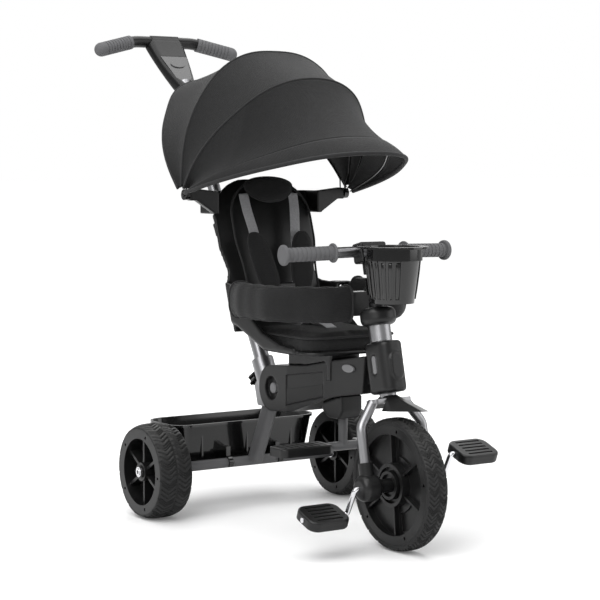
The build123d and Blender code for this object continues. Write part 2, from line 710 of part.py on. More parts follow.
def handle_neck():
    """Shield-shaped neck from the upper tube to the bow."""
    frame = neck_frame()
    low = Pos(0, 0, 0) * RectangleRounded(42, 34, 12)
    mid = Pos(0, 2, 60) * RectangleRounded(70, 28, 12)
    high = Pos(0, 2, neck_length()) * RectangleRounded(92, 32, 13)
    solid = frame * loft([low, mid, high])
    solid -= handle_frame() * swept_rod(
        [(-HANDLE_HALF, 0, -handle_drop()), (-HANDLE_HALF * 0.45, 0, -4), (HANDLE_HALF * 0.45, 0, -4),
         (HANDLE_HALF, 0, -handle_drop())], 90, HANDLE_RADIUS - 2.5)
    solid -= POLE * post(POLE_INNER, 0, POLE_TOP)
    return solid - frame * badge_seat(0.0)


def neck_start():
    return POLE * Pos(0, 0, POLE_TOP - 22)


def neck_frame():
    """Frame of the neck: from the top of the upper tube towards the crown of the bow."""
    foot = neck_start().position
    run = (HANDLE_MID[0] - foot.Y, HANDLE_MID[1] - foot.Z)
    length = hypot(*run)
    return Plane(origin=(0, foot.Y, foot.Z), x_dir=(1, 0, 0), z_dir=(0, run[0] / length, run[1] / length))


def neck_length():
    foot = neck_start().position
    return hypot(HANDLE_MID[0] - foot.Y, HANDLE_MID[1] - foot.Z) + 4


def badge_seat(clearance):
    """Shallow shield recess in the front of the neck."""
    face = make_face(Polyline((-33, 96), (33, 96), (20, 30), (8, 16), (-8, 16), (-20, 30), close=True))
    plate = extrude(Plane(origin=(0, -9, 0), x_dir=(1, 0, 0), z_dir=(0, -1, 0)) * face, 20)
    return plate


def handle_badge():
    """Blank shield plate with an oval medallion, let into the neck."""
    face = make_face(Polyline((-33, 96), (33, 96), (20, 30), (8, 16), (-8, 16), (-20, 30), close=True))
    front = Plane(origin=(0, -9, 0), x_dir=(1, 0, 0), z_dir=(0, -1, 0))
    plate = extrude(front * face, 3)
    plate += extrude(front * (Pos(0, 70) * Ellipse(17, 10)), 5)
    bar = handle_frame() * shaft(HANDLE_RADIUS - 2.5, -60, 60, 0, -4)
    return (neck_frame() * plate) - bar - POLE * post(POLE_INNER, 0, POLE_TOP)


def body_cavity():
    """Everything that the body shells leave room for."""
    room = body_solid(SHELL_WALL)
    room += STEER * head_solid(0.05)
    room += rear_yoke_room()
    return room + beam_box(SLIP)


def rear_yoke_room():
    sleeve = POLE * post(POLE_RADIUS + SOCKET_WALL + SLIP, -20, SOCKET_LENGTH + 20)
    lug = side_profile([(-128, 240), (-128, 292), (-70, 298), (-38, 262), (-50, 214), (-98, 214)], 21 + SLIP, 6)
    return sleeve + lug + post_solid(0.4)


def label_recess(depth):
    """Shallow panel in the right side of the body, following its taper."""
    outline = make_face(Polyline((-196, 238), (-196, 300), (-318, 318), (-318, 268), close=True))
    slab = extrude(Plane.YZ * outline, 60)
    inner = body_solid(depth)
    return slab - inner


def body_shell(side):
    """One moulded half of the body, side +1 for the rider's left."""
    outer = body_solid(0)
    outer = outer - body_cavity()
    half = block(0, side * 80, -600, 0, 0, 600)
    shell = outer & half
    boss = shaft(27, side * (BODY_HALF - 12), side * BODY_HALF, HIP_Y, HIP_Z)
    shell += boss & body_solid(0)
    shell -= shaft(24, side * (BODY_HALF - 9), side * (BODY_HALF + 1), HIP_Y, HIP_Z)
    shell -= shaft(BUTTON_RADIUS + 0.3, 0, side * (BODY_HALF + 1), HIP_Y, HIP_Z)
    recess = label_recess(2)
    if side < 0:
        recess = mirrored(recess)
    shell -= recess
    return shell


def side_plates():
    """Blank plates in the side recesses."""
    outline = make_face(Polyline((-198, 241), (-198, 272), (-316, 293), (-316, 270.5), close=True))
    slab = extrude(Plane.YZ * outline, 60)
    plate = (slab & body_solid(0.6)) - body_solid(2)
    half = block(0, 80, -600, 0, 0, 600)
    return pair(plate & half)


def hip_button(side):
    """Oval release button in the hip recess."""
    outer = BODY_HALF - 3
    cap = shaft(BUTTON_RADIUS, side * (outer - 18), side * outer, HIP_Y, HIP_Z)
    return fillet(cap.edges(), 2)


def side_insets():
    """Light oval inserts of the body and the head, and the blank side plates."""
    oval = Rot(0, 90, 0) * Ellipse(7.5, 19)
    lozenge = (Pos(NOSE_HALF + 2, -398, 332) * extrude(oval, 4)) - body_solid(0)
    return group(pair(lozenge), head_insets(), side_plates())


def seat_saddle():
    """Boss under the pan that sits on the body."""
    solid = block(-34, 34, -345, -190, 300, SEAT_Z - SEAT_WALL)
    return solid - body_solid(0)


# ------------------------------------------------------------- footrest
def footrest_block():
    """Plastic holder under the body."""
    solid = side_profile([(-300, 300), (-300, 240), (-318, 228), (-356, 228), (-366, 244), (-366, 300)], 25, 3)
    solid -= body_solid(0)
    return solid - post(FOOT_BAR, 180, 245, 0, FOOT_Y)


def footrest_bar():
    """Post with a crossbar whose thin ends carry the foot plates."""
    solid = post(FOOT_BAR, FOOT_Z, 245, 0, FOOT_Y)
    solid += shaft(FOOT_BAR, -FOOT_INNER + SLIP, FOOT_INNER - SLIP, FOOT_Y, FOOT_Z)
    solid += shaft(FOOT_PIN, -FOOT_OUTER + 6, FOOT_OUTER - 6, FOOT_Y, FOOT_Z)
    return solid


def foot_plate(side):
    """Foot plate that folds up about the crossbar."""
    width = FOOT_OUTER - FOOT_INNER
    depth = FOOT_AHEAD + FOOT_BEHIND
    plate = Pos(0, 0, -FOOT_THICK / 2) * rounded_block(width, depth, FOOT_THICK, 12)
    plate = fillet(plate.faces().sort_by(Axis.Z)[-1].edges(), 3)
    for k in range(-3, 4):
        groove = block(k * 15 - 2, k * 15 + 2, -depth / 2 + 8, depth / 2 - 8, FOOT_THICK / 2 - 1.5, FOOT_THICK)
        plate -= groove
    middle = side * (FOOT_INNER + FOOT_OUTER) / 2
    plate = Pos(middle, FOOT_Y + (FOOT_BEHIND - FOOT_AHEAD) / 2, FOOT_Z) * plate
    return plate - shaft(FOOT_PIN + RUNNING_FIT, side * (FOOT_INNER - 1), side * (FOOT_OUTER - 5.7), FOOT_Y, FOOT_Z)


# ------------------------------------------------------------- bin
def bin_solid(inset, floor):
    """Tapered tub between a floor and the rim, moved in by inset."""
    width = 2 * (BIN_HALF - inset)
    depth = BIN_BACK - BIN_FRONT - 2 * inset
    middle = (BIN_FRONT + BIN_BACK) / 2
    low = Pos(0, middle, floor) * RectangleRounded(width - 2 * BIN_TAPER, depth - BIN_TAPER, BIN_CORNER - 14)
    high = Pos(0, middle, BIN_TOP) * RectangleRounded(width, depth, BIN_CORNER - inset)
    return loft([low, high])


def storage_bin():
    middle = (BIN_FRONT + BIN_BACK) / 2
    rim = RectangleRounded(2 * BIN_HALF + 6, BIN_BACK - BIN_FRONT + 6, BIN_CORNER + 3)
    shell = bin_solid(0, BIN_LOW) + Pos(0, middle, BIN_TOP - 5) * extrude(rim, 5)
    for x in (-110, 0, 110):
        shell += block(x - 2, x + 2, BIN_FRONT + 3, BIN_FRONT + 14, BIN_LOW + 14, BIN_TOP - 6)
    for x in (-HOOK_X, HOOK_X):
        shell += bin_hook(x)
    return shell - bin_solid(BIN_WALL, BIN_LOW + BIN_WALL)


def bin_hook(x):
    """Hook on the front of the bin that drops over the cross tube."""
    ring = shaft(CROSS_RADIUS + 4, x - 5, x + 5, 0, REAR_RADIUS)
    ring += block(x - 5, x + 5, 0, BIN_FRONT + 16, REAR_RADIUS + 2, REAR_RADIUS + 34)
    ring -= shaft(CROSS_RADIUS, x - 6, x + 6, 0, REAR_RADIUS)
    return ring - block(x - 6, x + 6, -30, 30, REAR_RADIUS - 30, REAR_RADIUS - 8)


# ------------------------------------------------------------- seat
def seat_shell():
    """Moulded bucket: pan, raised sides and a back plate, with its saddle and ring lugs."""
    low = SEAT_Z - SEAT_WALL
    half = SEAT_HALF - SEAT_WALL
    pan = side_profile([
        (SEAT_FRONT, low), (SEAT_FRONT, SEAT_Z), (PAN_TURN, SEAT_Z), (-114, 413), (-104, 404),
        (PAN_TURN + 6, low)], half)
    pan = fillet(pan.edges().filter_by(Axis.Z).sort_by(Axis.Y)[:2], 36)
    wing = make_face(Polyline(
        (SEAT_FRONT + 45, low), (SEAT_FRONT + 45, SEAT_Z + 6), (-290, SEAT_Z + 10), (-226, 392), (-176, 424),
        (-150, 478), (-80, 482), (-105, 402), (-128, 396), (PAN_TURN + 6, low), close=True))
    sides = Pos(half - 0.5, 0, 0) * extrude(Plane.YZ * wing, SEAT_WALL)
    outline = make_face(Polyline(
        (-half - 2, 24), (half + 2, 24), (half + 2, 122), (104, 150), (half + 6, 200), (half + 6, 346),
        (-half - 6, 346), (-half - 6, 200), (-104, 150), (-half - 2, 122), close=True))
    outline = fillet(outline.vertices().sort_by(Axis.Y)[-2:], 88)
    back = extrude(Plane(origin=(0, SEAT_WALL, 0), x_dir=(1, 0, 0), z_dir=(0, -1, 0)) * outline, SEAT_WALL)
    lug = ring_lug()
    return pan + sides + mirrored(sides) + (BACK * back) + seat_saddle() + lug + mirrored(lug)


def seat_pad():
    """Cushion on the pan."""
    half = SEAT_HALF - SEAT_WALL - 1
    top = SEAT_Z + SEAT_PAD
    pad = side_profile([
        (SEAT_FRONT + 6, SEAT_Z), (SEAT_FRONT + 6, top), (-161, top), (PAN_TURN, SEAT_Z)], half)
    pad = fillet(pad.edges().filter_by(Axis.Z).sort_by(Axis.Y)[:2], 34)
    pad = fillet(pad.faces().sort_by(Axis.Z)[-1].edges().sort_by(Axis.Y)[:-1], 9)
    return pad - seat_shell()


def back_pad():
    """Back cushion with raised side bolsters."""
    half = SEAT_HALF - SEAT_WALL - 1
    outline = make_face(Polyline(
        (-92, 30), (92, 30), (98, 150), (half, 200), (half, 342), (-half, 342), (-half, 200),
        (-98, 150), close=True))
    outline = fillet(outline.vertices().sort_by(Axis.Y)[-2:], 82)
    pad = extrude(Plane(origin=(0, 0, 0), x_dir=(1, 0, 0), z_dir=(0, -1, 0)) * outline, BACK_PAD)
    bolster = Pos(88, -BACK_PAD - 12, 70) * Rot(0, 5, 0) * Box(24, 25, 205, align=LOW)
    bolster = fillet(bolster.edges(), 9)
    return (BACK * (pad + bolster + mirrored(bolster))) - seat_shell()


def headrest():
    """Crescent pad at the top of the back cushion."""
    face = Pos(0, 350) * Circle(60) - Pos(0, 354) * Circle(40)
    face = face & (Pos(0, 311) * Rectangle(140, 50))
    roll = extrude(Plane(origin=(0, -BACK_PAD, 0), x_dir=(1, 0, 0), z_dir=(0, -1, 0)) * face, 14)
    return BACK * roll


def harness_straps():
    """Shoulder, waist and crotch straps that meet at the buckle."""
    face = -BACK_PAD
    shoulder = BACK * block(44, 66, face - 2, face, 99, 296)
    waist = BACK * block(22, 74, face - 2, face, 76, 96)
    top = SEAT_Z + SEAT_PAD
    crotch = block(-11, 11, -300, -206, top, top + 2.5)
    return group(pair(shoulder), pair(waist), crotch)


def shoulder_pads():
    """Padded sleeves on the shoulder straps."""
    pad = block(28, 76, -BACK_PAD - 14, -BACK_PAD - 2.2, 100, 220)
    return pair(BACK * fillet(pad.edges(), 4))


def buckle():
    """Harness buckle in front of the child's belly."""
    body = Pos(0, -BACK_PAD - 9, 88) * Box(42, 16, 46)
    return BACK * fillet(body.edges(), 5)


def ring_lug():
    """Forked lug on the left of the shell with the hinge pin of the safety ring."""
    reach = 20.0
    ear = block(SEAT_HALF - 4, RING_HINGE_X, RING_HINGE_Y - 10, RING_HINGE_Y + 24, RING_Z - reach - 6, RING_Z - reach)
    ear += post(11, RING_Z - reach - 6, RING_Z - reach, RING_HINGE_X, RING_HINGE_Y)
    solid = ear + Pos(0, 0, 2 * reach + 6) * ear
    solid += block(SEAT_HALF - 8, SEAT_HALF + 4, RING_HINGE_Y + 13, RING_HINGE_Y + 24, 420, RING_Z + reach + 6)
    return solid + post(RING_PIN, RING_Z - reach - 3, RING_Z + reach + 3, RING_HINGE_X, RING_HINGE_Y)


def ring_pad():
    """Left padded half of the safety ring, from its knuckle to the front."""
    corners = [
        (RING_HINGE_X + 4, RING_HINGE_Y - 22),
        (RING_HALF, -225),
        (RING_HALF - 6, -312),
        (RING_HALF - 70, RING_FRONT),
        (20, RING_FRONT),
    ]
    plan = trace(FilletPolyline(*corners, radius=28), RING_THICK)
    pad = Pos(0, 0, RING_Z - RING_TALL / 2) * extrude(plan, RING_TALL)
    return fillet(pad.edges().group_by(Axis.Z)[-1] + pad.edges().group_by(Axis.Z)[0], 11)


def ring_knuckle():
    """Left plastic knuckle on its hinge pin."""
    solid = post(10, RING_Z - 19.7, RING_Z + 19.7, RING_HINGE_X, RING_HINGE_Y)
    solid += block(RING_HINGE_X - 6, RING_HINGE_X + 10, RING_HINGE_Y - 26, RING_HINGE_Y, RING_Z - 14, RING_Z + 14)
    solid -= post(RING_PIN + RUNNING_FIT, RING_Z - 30, RING_Z + 30, RING_HINGE_X, RING_HINGE_Y)
    return solid - ring_pad()


def ring_arm(side):
    """Half of the safety ring: pad and knuckle, and on the rider's right the latch."""
    pieces = [ring_pad(), ring_knuckle()]
    if side > 0:
        return group(*pieces)
    return group(*[mirrored(piece) for piece in pieces], ring_latch())


def ring_latch():
    """Latch housing at the front, fixed to the rider's right arm."""
    low = RING_Z - 23
    body = block(-20, 20 - SKIN, RING_FRONT - 13, RING_FRONT + 13, low, low + 46)
    return fillet(body.edges().filter_by(Axis.Z), 3)


# ------------------------------------------------------------- canopy
def hoop_plane(angle):
    """Plane through the pivots in which a hoop stands: X across, local Y up the hoop."""
    a = radians(angle)
    return Plane(origin=(0, CANOPY_Y, CANOPY_Z), x_dir=(1, 0, 0), z_dir=(0, -cos(a), sin(a)))


def arch_corners(half, height, fullness, foot, shift):
    """Corners of an arch, moved out by shift, and the bend radius at each inner corner."""
    w = half + shift
    h = height + shift
    knee = fullness * h
    brow = fullness * w
    slant = hypot(w - brow, h - knee)
    knee_turn = atan2(w - brow, h - knee)
    brow_turn = atan2(h - knee, w - brow)
    knee_radius = 0.93 * min(knee - BOW_FOOT, slant / 2) / tan(knee_turn / 2)
    brow_radius = 0.93 * min(brow, slant / 2) / tan(brow_turn / 2)
    corners = [(-w, foot), (-w, knee), (-brow, h), (brow, h), (w, knee), (w, foot)]
    return corners, [knee_radius, brow_radius, brow_radius, knee_radius]


def arch(half, height, fullness, foot, shift=0.0):
    """Rounded arch from its left foot to its right foot."""
    corners, bends = arch_corners(half, height, fullness, foot, shift)
    return FilletPolyline(*corners, radius=bends)


def band(hoop, inner_shift, outer_shift):
    """Face between two shifted arches in the plane of a hoop."""
    angle, height, fullness = hoop
    outer = arch(CANOPY_HALF, height, fullness, PIVOT_CLEAR, outer_shift)
    inner = arch(CANOPY_HALF, height, fullness, PIVOT_CLEAR, inner_shift)
    face = make_face([
        *outer.edges(), Line(outer @ 1, inner @ 1), *inner.edges(), Line(inner @ 0, outer @ 0)])
    return hoop_plane(angle) * face


def cloth_between(first, second):
    """Cloth panel between two hoops, as a thin closed solid."""
    return loft([band(first, 0, CLOTH), band(second, 0, CLOTH)], ruled=True)


def bow(hoop, slot):
    """Wire bow under the cloth with a hub disc at each pivot."""
    angle, height, fullness = hoop
    start = HUB_START + slot * HUB_STEP
    middle = start + HUB_THICK / 2
    inset = -BOW_RADIUS - 1.4
    corners, bends = arch_corners(CANOPY_HALF, height, fullness, BOW_FOOT, inset)
    legs = [(middle, HUB_RADIUS + 4), (middle, HUB_RADIUS - 3)]
    corners = [(-x, z) for x, z in reversed(legs)] + corners + legs
    path = FilletPolyline(*corners, radius=[4, 12, *bends, 12, 4])
    section = Plane(origin=path @ 0, z_dir=path % 0) * Circle(BOW_RADIUS)
    wire = hoop_plane(angle) * sweep(section, path=path)
    hub = shaft(HUB_RADIUS, start, start + HUB_THICK, CANOPY_Y, CANOPY_Z)
    bore = shaft(PIVOT_RADIUS + RUNNING_FIT, -260, 260, CANOPY_Y, CANOPY_Z)
    return wire + (hub - bore) + mirrored(hub - bore)


def canopy_visor():
    """Stiff visor in front of the foremost hoop, with that hoop's wire bow."""
    return group(cloth_between(VISOR_HOOP, LIP_HOOP), bow(VISOR_HOOP, 3))


def canopy_brackets():
    """Wings from the seat back to the canopy pivots, with their pins."""
    tip = HUB_START - SLIP
    root = SEAT_HALF + 1
    outline = make_face(Polyline(
        (tip, -12), (tip, 11), (tip - 14, 12), (root, 6), (root, -40), (root + 12, -38), (tip - 16, -12),
        close=True))
    face = Plane(origin=(0, CANOPY_Y, CANOPY_Z), x_dir=(1, 0, 0), z_dir=(0, -1, 0)) * outline
    arm = extrude(face, 8, both=True)
    reach = block(84, root + 12, CANOPY_Y - 8, -6, CANOPY_Z - 40, CANOPY_Z + 6)
    pin = shaft(PIVOT_RADIUS, tip - 6, HUB_START + 3 * HUB_STEP + HUB_THICK + 0.2, CANOPY_Y, CANOPY_Z)
    seat_room = BACK * block(-root, root, -100, SEAT_WALL, -50, 600)
    return pair(arm + reach + pin - seat_room)


# ------------------------------------------------------------- the assembly
def assembly():
    """Every node, in the layout frame."""
    nodes = {
        "rear_tyre_left": rear_tyre(1),
        "rear_tyre_right": rear_tyre(-1),
        "rear_rim_left": rear_wheel_core(1),
        "rear_rim_right": rear_wheel_core(-1),
        "rear_axle": rear_axle(),
        "rear_frame": rear_frame(),
        "axle_rings": axle_rings(),
        "front_tyre": front_tyre(),
        "front_rim": front_wheel_core(),
        "fork": fork(),
        "fork_ends": fork_ends(),
        "column_cover": column_cover(),
        "stem_cover": stem_cover(),
        "bar_clamp": bar_clamp(),
        "handlebar": handlebar(),
        "grips": pair(grip()),
        "cup_holder": cup_holder(),
        "mudguard": mudguard(),
        "crank": crank(),
        "pedal_left": pedal(1),
        "pedal_right": pedal(-1),
        "steering_head": steering_head(),
        "steering_bushes": steering_bushes(),
        "side_insets": side_insets(),
        "frame_spine": frame_spine(),
        "body_shell_left": body_shell(1),
        "body_shell_right": body_shell(-1),
        "hip_button_left": hip_button(1),
        "hip_button_right": hip_button(-1),
        "clamp_knob": clamp_knob(),
        "pole_lower": pole_lower(),
        "pole_collar": pole_collar(),
        "height_button": height_button(),
        "pole_upper": pole_upper(),
        "handle_neck": handle_neck(),
        "handle_badge": handle_badge(),
        "handle_bow": push_handle(),
        "handle_grips": handle_grips(),
        "footrest_block": footrest_block(),
        "footrest_bar": footrest_bar(),
        "foot_plate_left": foot_plate(1),
        "foot_plate_right": foot_plate(-1),
        "storage_bin": storage_bin(),
        "seat_shell": seat_shell(),
        "seat_pad": seat_pad(),
        "back_pad": back_pad(),
        "headrest": headrest(),
        "harness_straps": harness_straps(),
        "shoulder_pads": shoulder_pads(),
        "buckle": buckle(),
        "ring_arm_left": ring_arm(1),
        "ring_arm_right": ring_arm(-1),
        "canopy_brackets": canopy_brackets(),
        "canopy_bow_rear": bow(REAR_HOOP, 0),
        "canopy_bow_mid": bow(MID_HOOP, 1),
        "canopy_bow_front": bow(FRONT_HOOP, 2),
        "canopy_cloth_rear": cloth_between(REAR_HOOP, MID_HOOP),
        "canopy_cloth_mid": cloth_between(MID_HOOP, FRONT_HOOP),
        "canopy_cloth_front": cloth_between(FRONT_HOOP, VISOR_HOOP),
        "canopy_visor": canopy_visor(),
    }
    return nodes


if __name__ == "__main__":
    os.makedirs("parts", exist_ok=True)
    nodes = assembly()
    boxes = [piece.bounding_box() for piece in nodes.values()]
    front = min(box.min.Y for box in boxes)
    back = max(box.max.Y for box in boxes)
    centre = (front + back) / 2
    for name, piece in nodes.items():
        export_step(Pos(0, -centre, 0) * piece, f"parts/{name}.step")
    print(len(nodes), "nodes, moved by", -centre)
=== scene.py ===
import json
import logging
from dataclasses import dataclass, field
from enum import Enum
from math import cos, hypot, radians, sin, tan

import bmesh
import bpy
import numpy as np
from mathutils import Matrix, Vector
from mathutils.bvhtree import BVHTree


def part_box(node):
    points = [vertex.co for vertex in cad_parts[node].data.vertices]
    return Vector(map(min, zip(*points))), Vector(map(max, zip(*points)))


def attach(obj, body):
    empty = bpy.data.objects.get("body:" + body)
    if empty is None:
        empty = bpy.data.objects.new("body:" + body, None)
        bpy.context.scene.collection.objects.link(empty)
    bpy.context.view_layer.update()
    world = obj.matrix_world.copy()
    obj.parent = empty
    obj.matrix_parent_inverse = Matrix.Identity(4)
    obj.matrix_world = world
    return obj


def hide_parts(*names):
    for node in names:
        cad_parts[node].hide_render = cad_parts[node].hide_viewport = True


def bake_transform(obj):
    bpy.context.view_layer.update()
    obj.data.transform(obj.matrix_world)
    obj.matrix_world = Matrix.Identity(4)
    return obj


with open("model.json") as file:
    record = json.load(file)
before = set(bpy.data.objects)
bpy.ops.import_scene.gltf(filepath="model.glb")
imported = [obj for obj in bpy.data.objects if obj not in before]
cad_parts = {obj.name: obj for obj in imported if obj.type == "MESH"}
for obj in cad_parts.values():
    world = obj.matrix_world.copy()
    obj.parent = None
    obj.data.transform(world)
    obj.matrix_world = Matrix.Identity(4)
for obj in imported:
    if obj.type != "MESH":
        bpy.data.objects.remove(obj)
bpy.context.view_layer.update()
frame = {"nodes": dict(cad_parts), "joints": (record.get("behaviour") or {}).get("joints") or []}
LOG = logging.getLogger("tricycle")
logging.basicConfig(level=logging.INFO, format="%(name)s %(message)s")

JOINTS: dict[str, dict] = {joint["name"]: joint for joint in frame["joints"]}
AXLE_Y: float = JOINTS["rear_wheel_left_spin"]["pos_m"][1]
MM = 0.001


# ------------------------------------------------------------------ curves and meshes
def filleted(corners: np.ndarray, radii: list[float], step: float) -> np.ndarray:
    """Polyline with a circular arc at each inner corner.

    Each arc starts where the two runs are tangent to a circle of the given radius:
    that is radius times the tangent of half the turn before and after the corner.

    Args:
        corners: points of the polyline, one row each.
        radii: arc radius at each inner corner.
        step: largest distance between two returned points.

    Returns:
        The points along the rounded line.
    """
    parts: list[np.ndarray] = [corners[:1]]
    for k, radius in enumerate(radii, start=1):
        before = corners[k - 1] - corners[k]
        after = corners[k + 1] - corners[k]
        before = before / np.linalg.norm(before)
        after = after / np.linalg.norm(after)
        turn = np.pi - np.arccos(np.clip(before @ after, -1, 1))
        reach = radius * tan(turn / 2)
        middle = corners[k] + (before + after) / np.linalg.norm(before + after) * (radius / cos(turn / 2))
        start = corners[k] + before * reach - middle
        end = corners[k] + after * reach - middle
        share = np.linspace(0, 1, max(4, int(radius * turn / step)))[:, None]
        arc = middle + (start * np.sin((1 - share) * turn) + end * np.sin(share * turn)) / sin(turn)
        parts.append(arc)
    parts.append(corners[-1:])
    return np.vstack(parts)


def evenly(points: np.ndarray, count: int) -> np.ndarray:
    """Points at equal distances along a line.

    Args:
        points: the line, one row a point.
        count: how many points to return.

    Returns:
        An array of count points.
    """
    length = np.r_[0, np.cumsum(np.linalg.norm(np.diff(points, axis=0), axis=1))]
    where = np.linspace(0, length[-1], count)
    return np.stack([np.interp(where, length, points[:, k]) for k in range(points.shape[1])], axis=1)


def softened(points: np.ndarray, rounds: int) -> np.ndarray:
    """The line with each inner point moved to the mean of its neighbours and itself, a few times."""
    line = points.copy()
    for _ in range(rounds):
        line[1:-1] = (line[:-2] + 2 * line[1:-1] + line[2:]) / 4
    return line


def mesh_of(name: str, points: np.ndarray, faces: list, smooth: bool = True) -> bpy.types.Object:
    """New mesh object at the origin.

    Args:
        name: name of the piece.
        points: vertices in metres, one row each.
        faces: vertex numbers of each face.
        smooth: whether its faces are shaded smooth.

    Returns:
        The object, linked to the scene.
    """
    mesh = bpy.data.meshes.new(name)
    mesh.from_pydata(points.tolist(), [], faces if isinstance(faces, list) else faces.tolist())
    mesh.update()
    if smooth:
        mesh.polygons.foreach_set("use_smooth", np.ones(len(mesh.polygons), bool))
    piece = bpy.data.objects.new(name, mesh)
    bpy.context.scene.collection.objects.link(piece)
    return piece


def grid_faces(rows: int, columns: int, wrap_rows: bool, wrap_columns: bool) -> np.ndarray:
    """Quads of a grid whose vertex in row i and column j is number i * columns + j."""
    i, j = np.meshgrid(
        np.arange(rows if wrap_rows else rows - 1),
        np.arange(columns if wrap_columns else columns - 1), indexing="ij")
    after_i = (i + 1) % rows
    after_j = (j + 1) % columns
    quads = np.stack(
        [i * columns + j, i * columns + after_j, after_i * columns + after_j, after_i * columns + j], axis=-1)
    return quads.reshape(-1, 4)


def outwards(piece: bpy.types.Object) -> None:
    """Turns every face of a closed mesh outwards."""
    edit = bmesh.new()
    edit.from_mesh(piece.data)
    bmesh.ops.recalc_face_normals(edit, faces=edit.faces)
    edit.to_mesh(piece.data)
    edit.free()


def tube(name: str, path: np.ndarray, radius: float, sides: int = 10) -> bpy.types.Object:
    """Round tube along a line, closed at both ends.

    Its surface is the line's point plus radius times (cos of the angle round it times one
    normal, plus sin of it times the other), with normals that don't twist along the line.

    Args:
        name: name of the piece.
        path: points of the line.
        radius: radius of the tube.
        sides: how many sides its section has.

    Returns:
        The tube.
    """
    along = np.gradient(path, axis=0)
    along /= np.linalg.norm(along, axis=1)[:, None]
    first = np.cross(along, [0.31, 0.17, 0.94])
    first /= np.linalg.norm(first, axis=1)[:, None]
    second = np.cross(along, first)
    angle = np.linspace(0, 2 * np.pi, sides, endpoint=False)
    ring = path[:, None] + radius * (
        np.cos(angle)[None, :, None] * first[:, None] + np.sin(angle)[None, :, None] * second[:, None])
    count = len(path)
    points = np.vstack([
        ring.reshape(-1, 3), path[:1] - along[:1] * radius * 0.7, path[-1:] + along[-1:] * radius * 0.7])
    faces = grid_faces(count, sides, False, True).tolist()
    last = (count - 1) * sides
    faces += [[k, (k + 1) % sides, count * sides] for k in range(sides)]
    faces += [[last + (k + 1) % sides, last + k, count * sides + 1] for k in range(sides)]
    piece = mesh_of(name, points, faces)
    outwards(piece)
    return piece


def closed_tube(name: str, path: np.ndarray, radius: float, sides: int = 8) -> bpy.types.Object:
    """Round tube along a closed line, by the same formula as tube."""
    along = np.roll(path, -1, 0) - np.roll(path, 1, 0)
    along /= np.linalg.norm(along, axis=1)[:, None]
    first = np.cross(along, [0.31, 0.17, 0.94])
    first /= np.linalg.norm(first, axis=1)[:, None]
    second = np.cross(along, first)
    angle = np.linspace(0, 2 * np.pi, sides, endpoint=False)
    ring = path[:, None] + radius * (
        np.cos(angle)[None, :, None] * first[:, None] + np.sin(angle)[None, :, None] * second[:, None])
    piece = mesh_of(name, ring.reshape(-1, 3), grid_faces(len(path), sides, True, True))
    outwards(piece)
    return piece


def pillow(name: str, outline: np.ndarray, crown: float, back: float, place: Matrix) -> bpy.types.Object:
    """Closed cushion over a star-shaped outline.

    A point at share f of the way from the middle to the outline stands crown times
    the root of (1 - f to the third power) proud in front, and back times the same behind.

    Args:
        name: name of the piece.
        outline: corners of the closed outline in (across, up), metres.
        crown: how far the front stands proud of the seam.
        back: how far the back stands behind the seam.
        place: from (across, rearwards, up) to the row frame.

    Returns:
        The cushion.
    """
    middle = (outline.min(0) + outline.max(0)) / 2
    shares = np.sin(np.linspace(0, np.pi / 2, 14))[1:]
    rise = np.sqrt(1 - shares ** 3)
    flat = middle + shares[:, None, None] * (outline - middle)
    front = np.stack([flat[..., 0], -crown * np.broadcast_to(rise[:, None], flat.shape[:2]), flat[..., 1]], -1)
    rear = np.stack([flat[..., 0], back * np.broadcast_to(rise[:, None], flat.shape[:2]), flat[..., 1]], -1)
    rings = np.concatenate([front, rear[:-1][::-1]])
    count = outline.shape[0]
    points = np.vstack([rings.reshape(-1, 3), [[middle[0], -crown, middle[1]], [middle[0], back, middle[1]]]])
    faces = grid_faces(len(rings), count, False, True).tolist()
    last = (len(rings) - 1) * count
    first_pole = len(rings) * count
    faces += [[(k + 1) % count, k, first_pole] for k in range(count)]
    faces += [[last + k, last + (k + 1) % count, first_pole + 1] for k in range(count)]
    piece = mesh_of(name, points, faces)
    piece.data.transform(place)
    outwards(piece)
    return piece


def copy_of(node: str, name: str) -> bpy.types.Object:
    """Loose copy of a CAD node's mesh, with its corners merged."""
    mesh = frame["nodes"][node].data.copy()
    piece = bpy.data.objects.new(name, mesh)
    bpy.context.scene.collection.objects.link(piece)
    mesh.materials.clear()
    edit = bmesh.new()
    edit.from_mesh(mesh)
    bmesh.ops.remove_doubles(edit, verts=edit.verts, dist=1e-5)
    edit.to_mesh(mesh)
    edit.free()
    return piece


def applied(piece: bpy.types.Object) -> None:
    """Replaces a piece's mesh by what its modifiers make of it."""
    bpy.context.view_layer.update()
    shown = piece.evaluated_get(bpy.context.evaluated_depsgraph_get())
    made = bpy.data.meshes.new_from_object(shown)
    piece.modifiers.clear()
    piece.data = made


def points_of(mesh: bpy.types.Mesh) -> np.ndarray:
    """All vertices of a mesh as an array."""
    flat = np.zeros(len(mesh.vertices) * 3, np.float32)
    mesh.vertices.foreach_get("co", flat)
    return flat.reshape(-1, 3).astype(float)


def remeshed(piece: bpy.types.Object, voxel: float, rounds: int) -> None:
    """Even voxel mesh of a closed piece, smoothed a few rounds."""
    even = piece.modifiers.new("even", "REMESH")
    even.mode = "VOXEL"
    even.voxel_size = voxel
    if rounds:
        smooth = piece.modifiers.new("smooth", "SMOOTH")
        smooth.factor = 0.5
        smooth.iterations = rounds
    applied(piece)


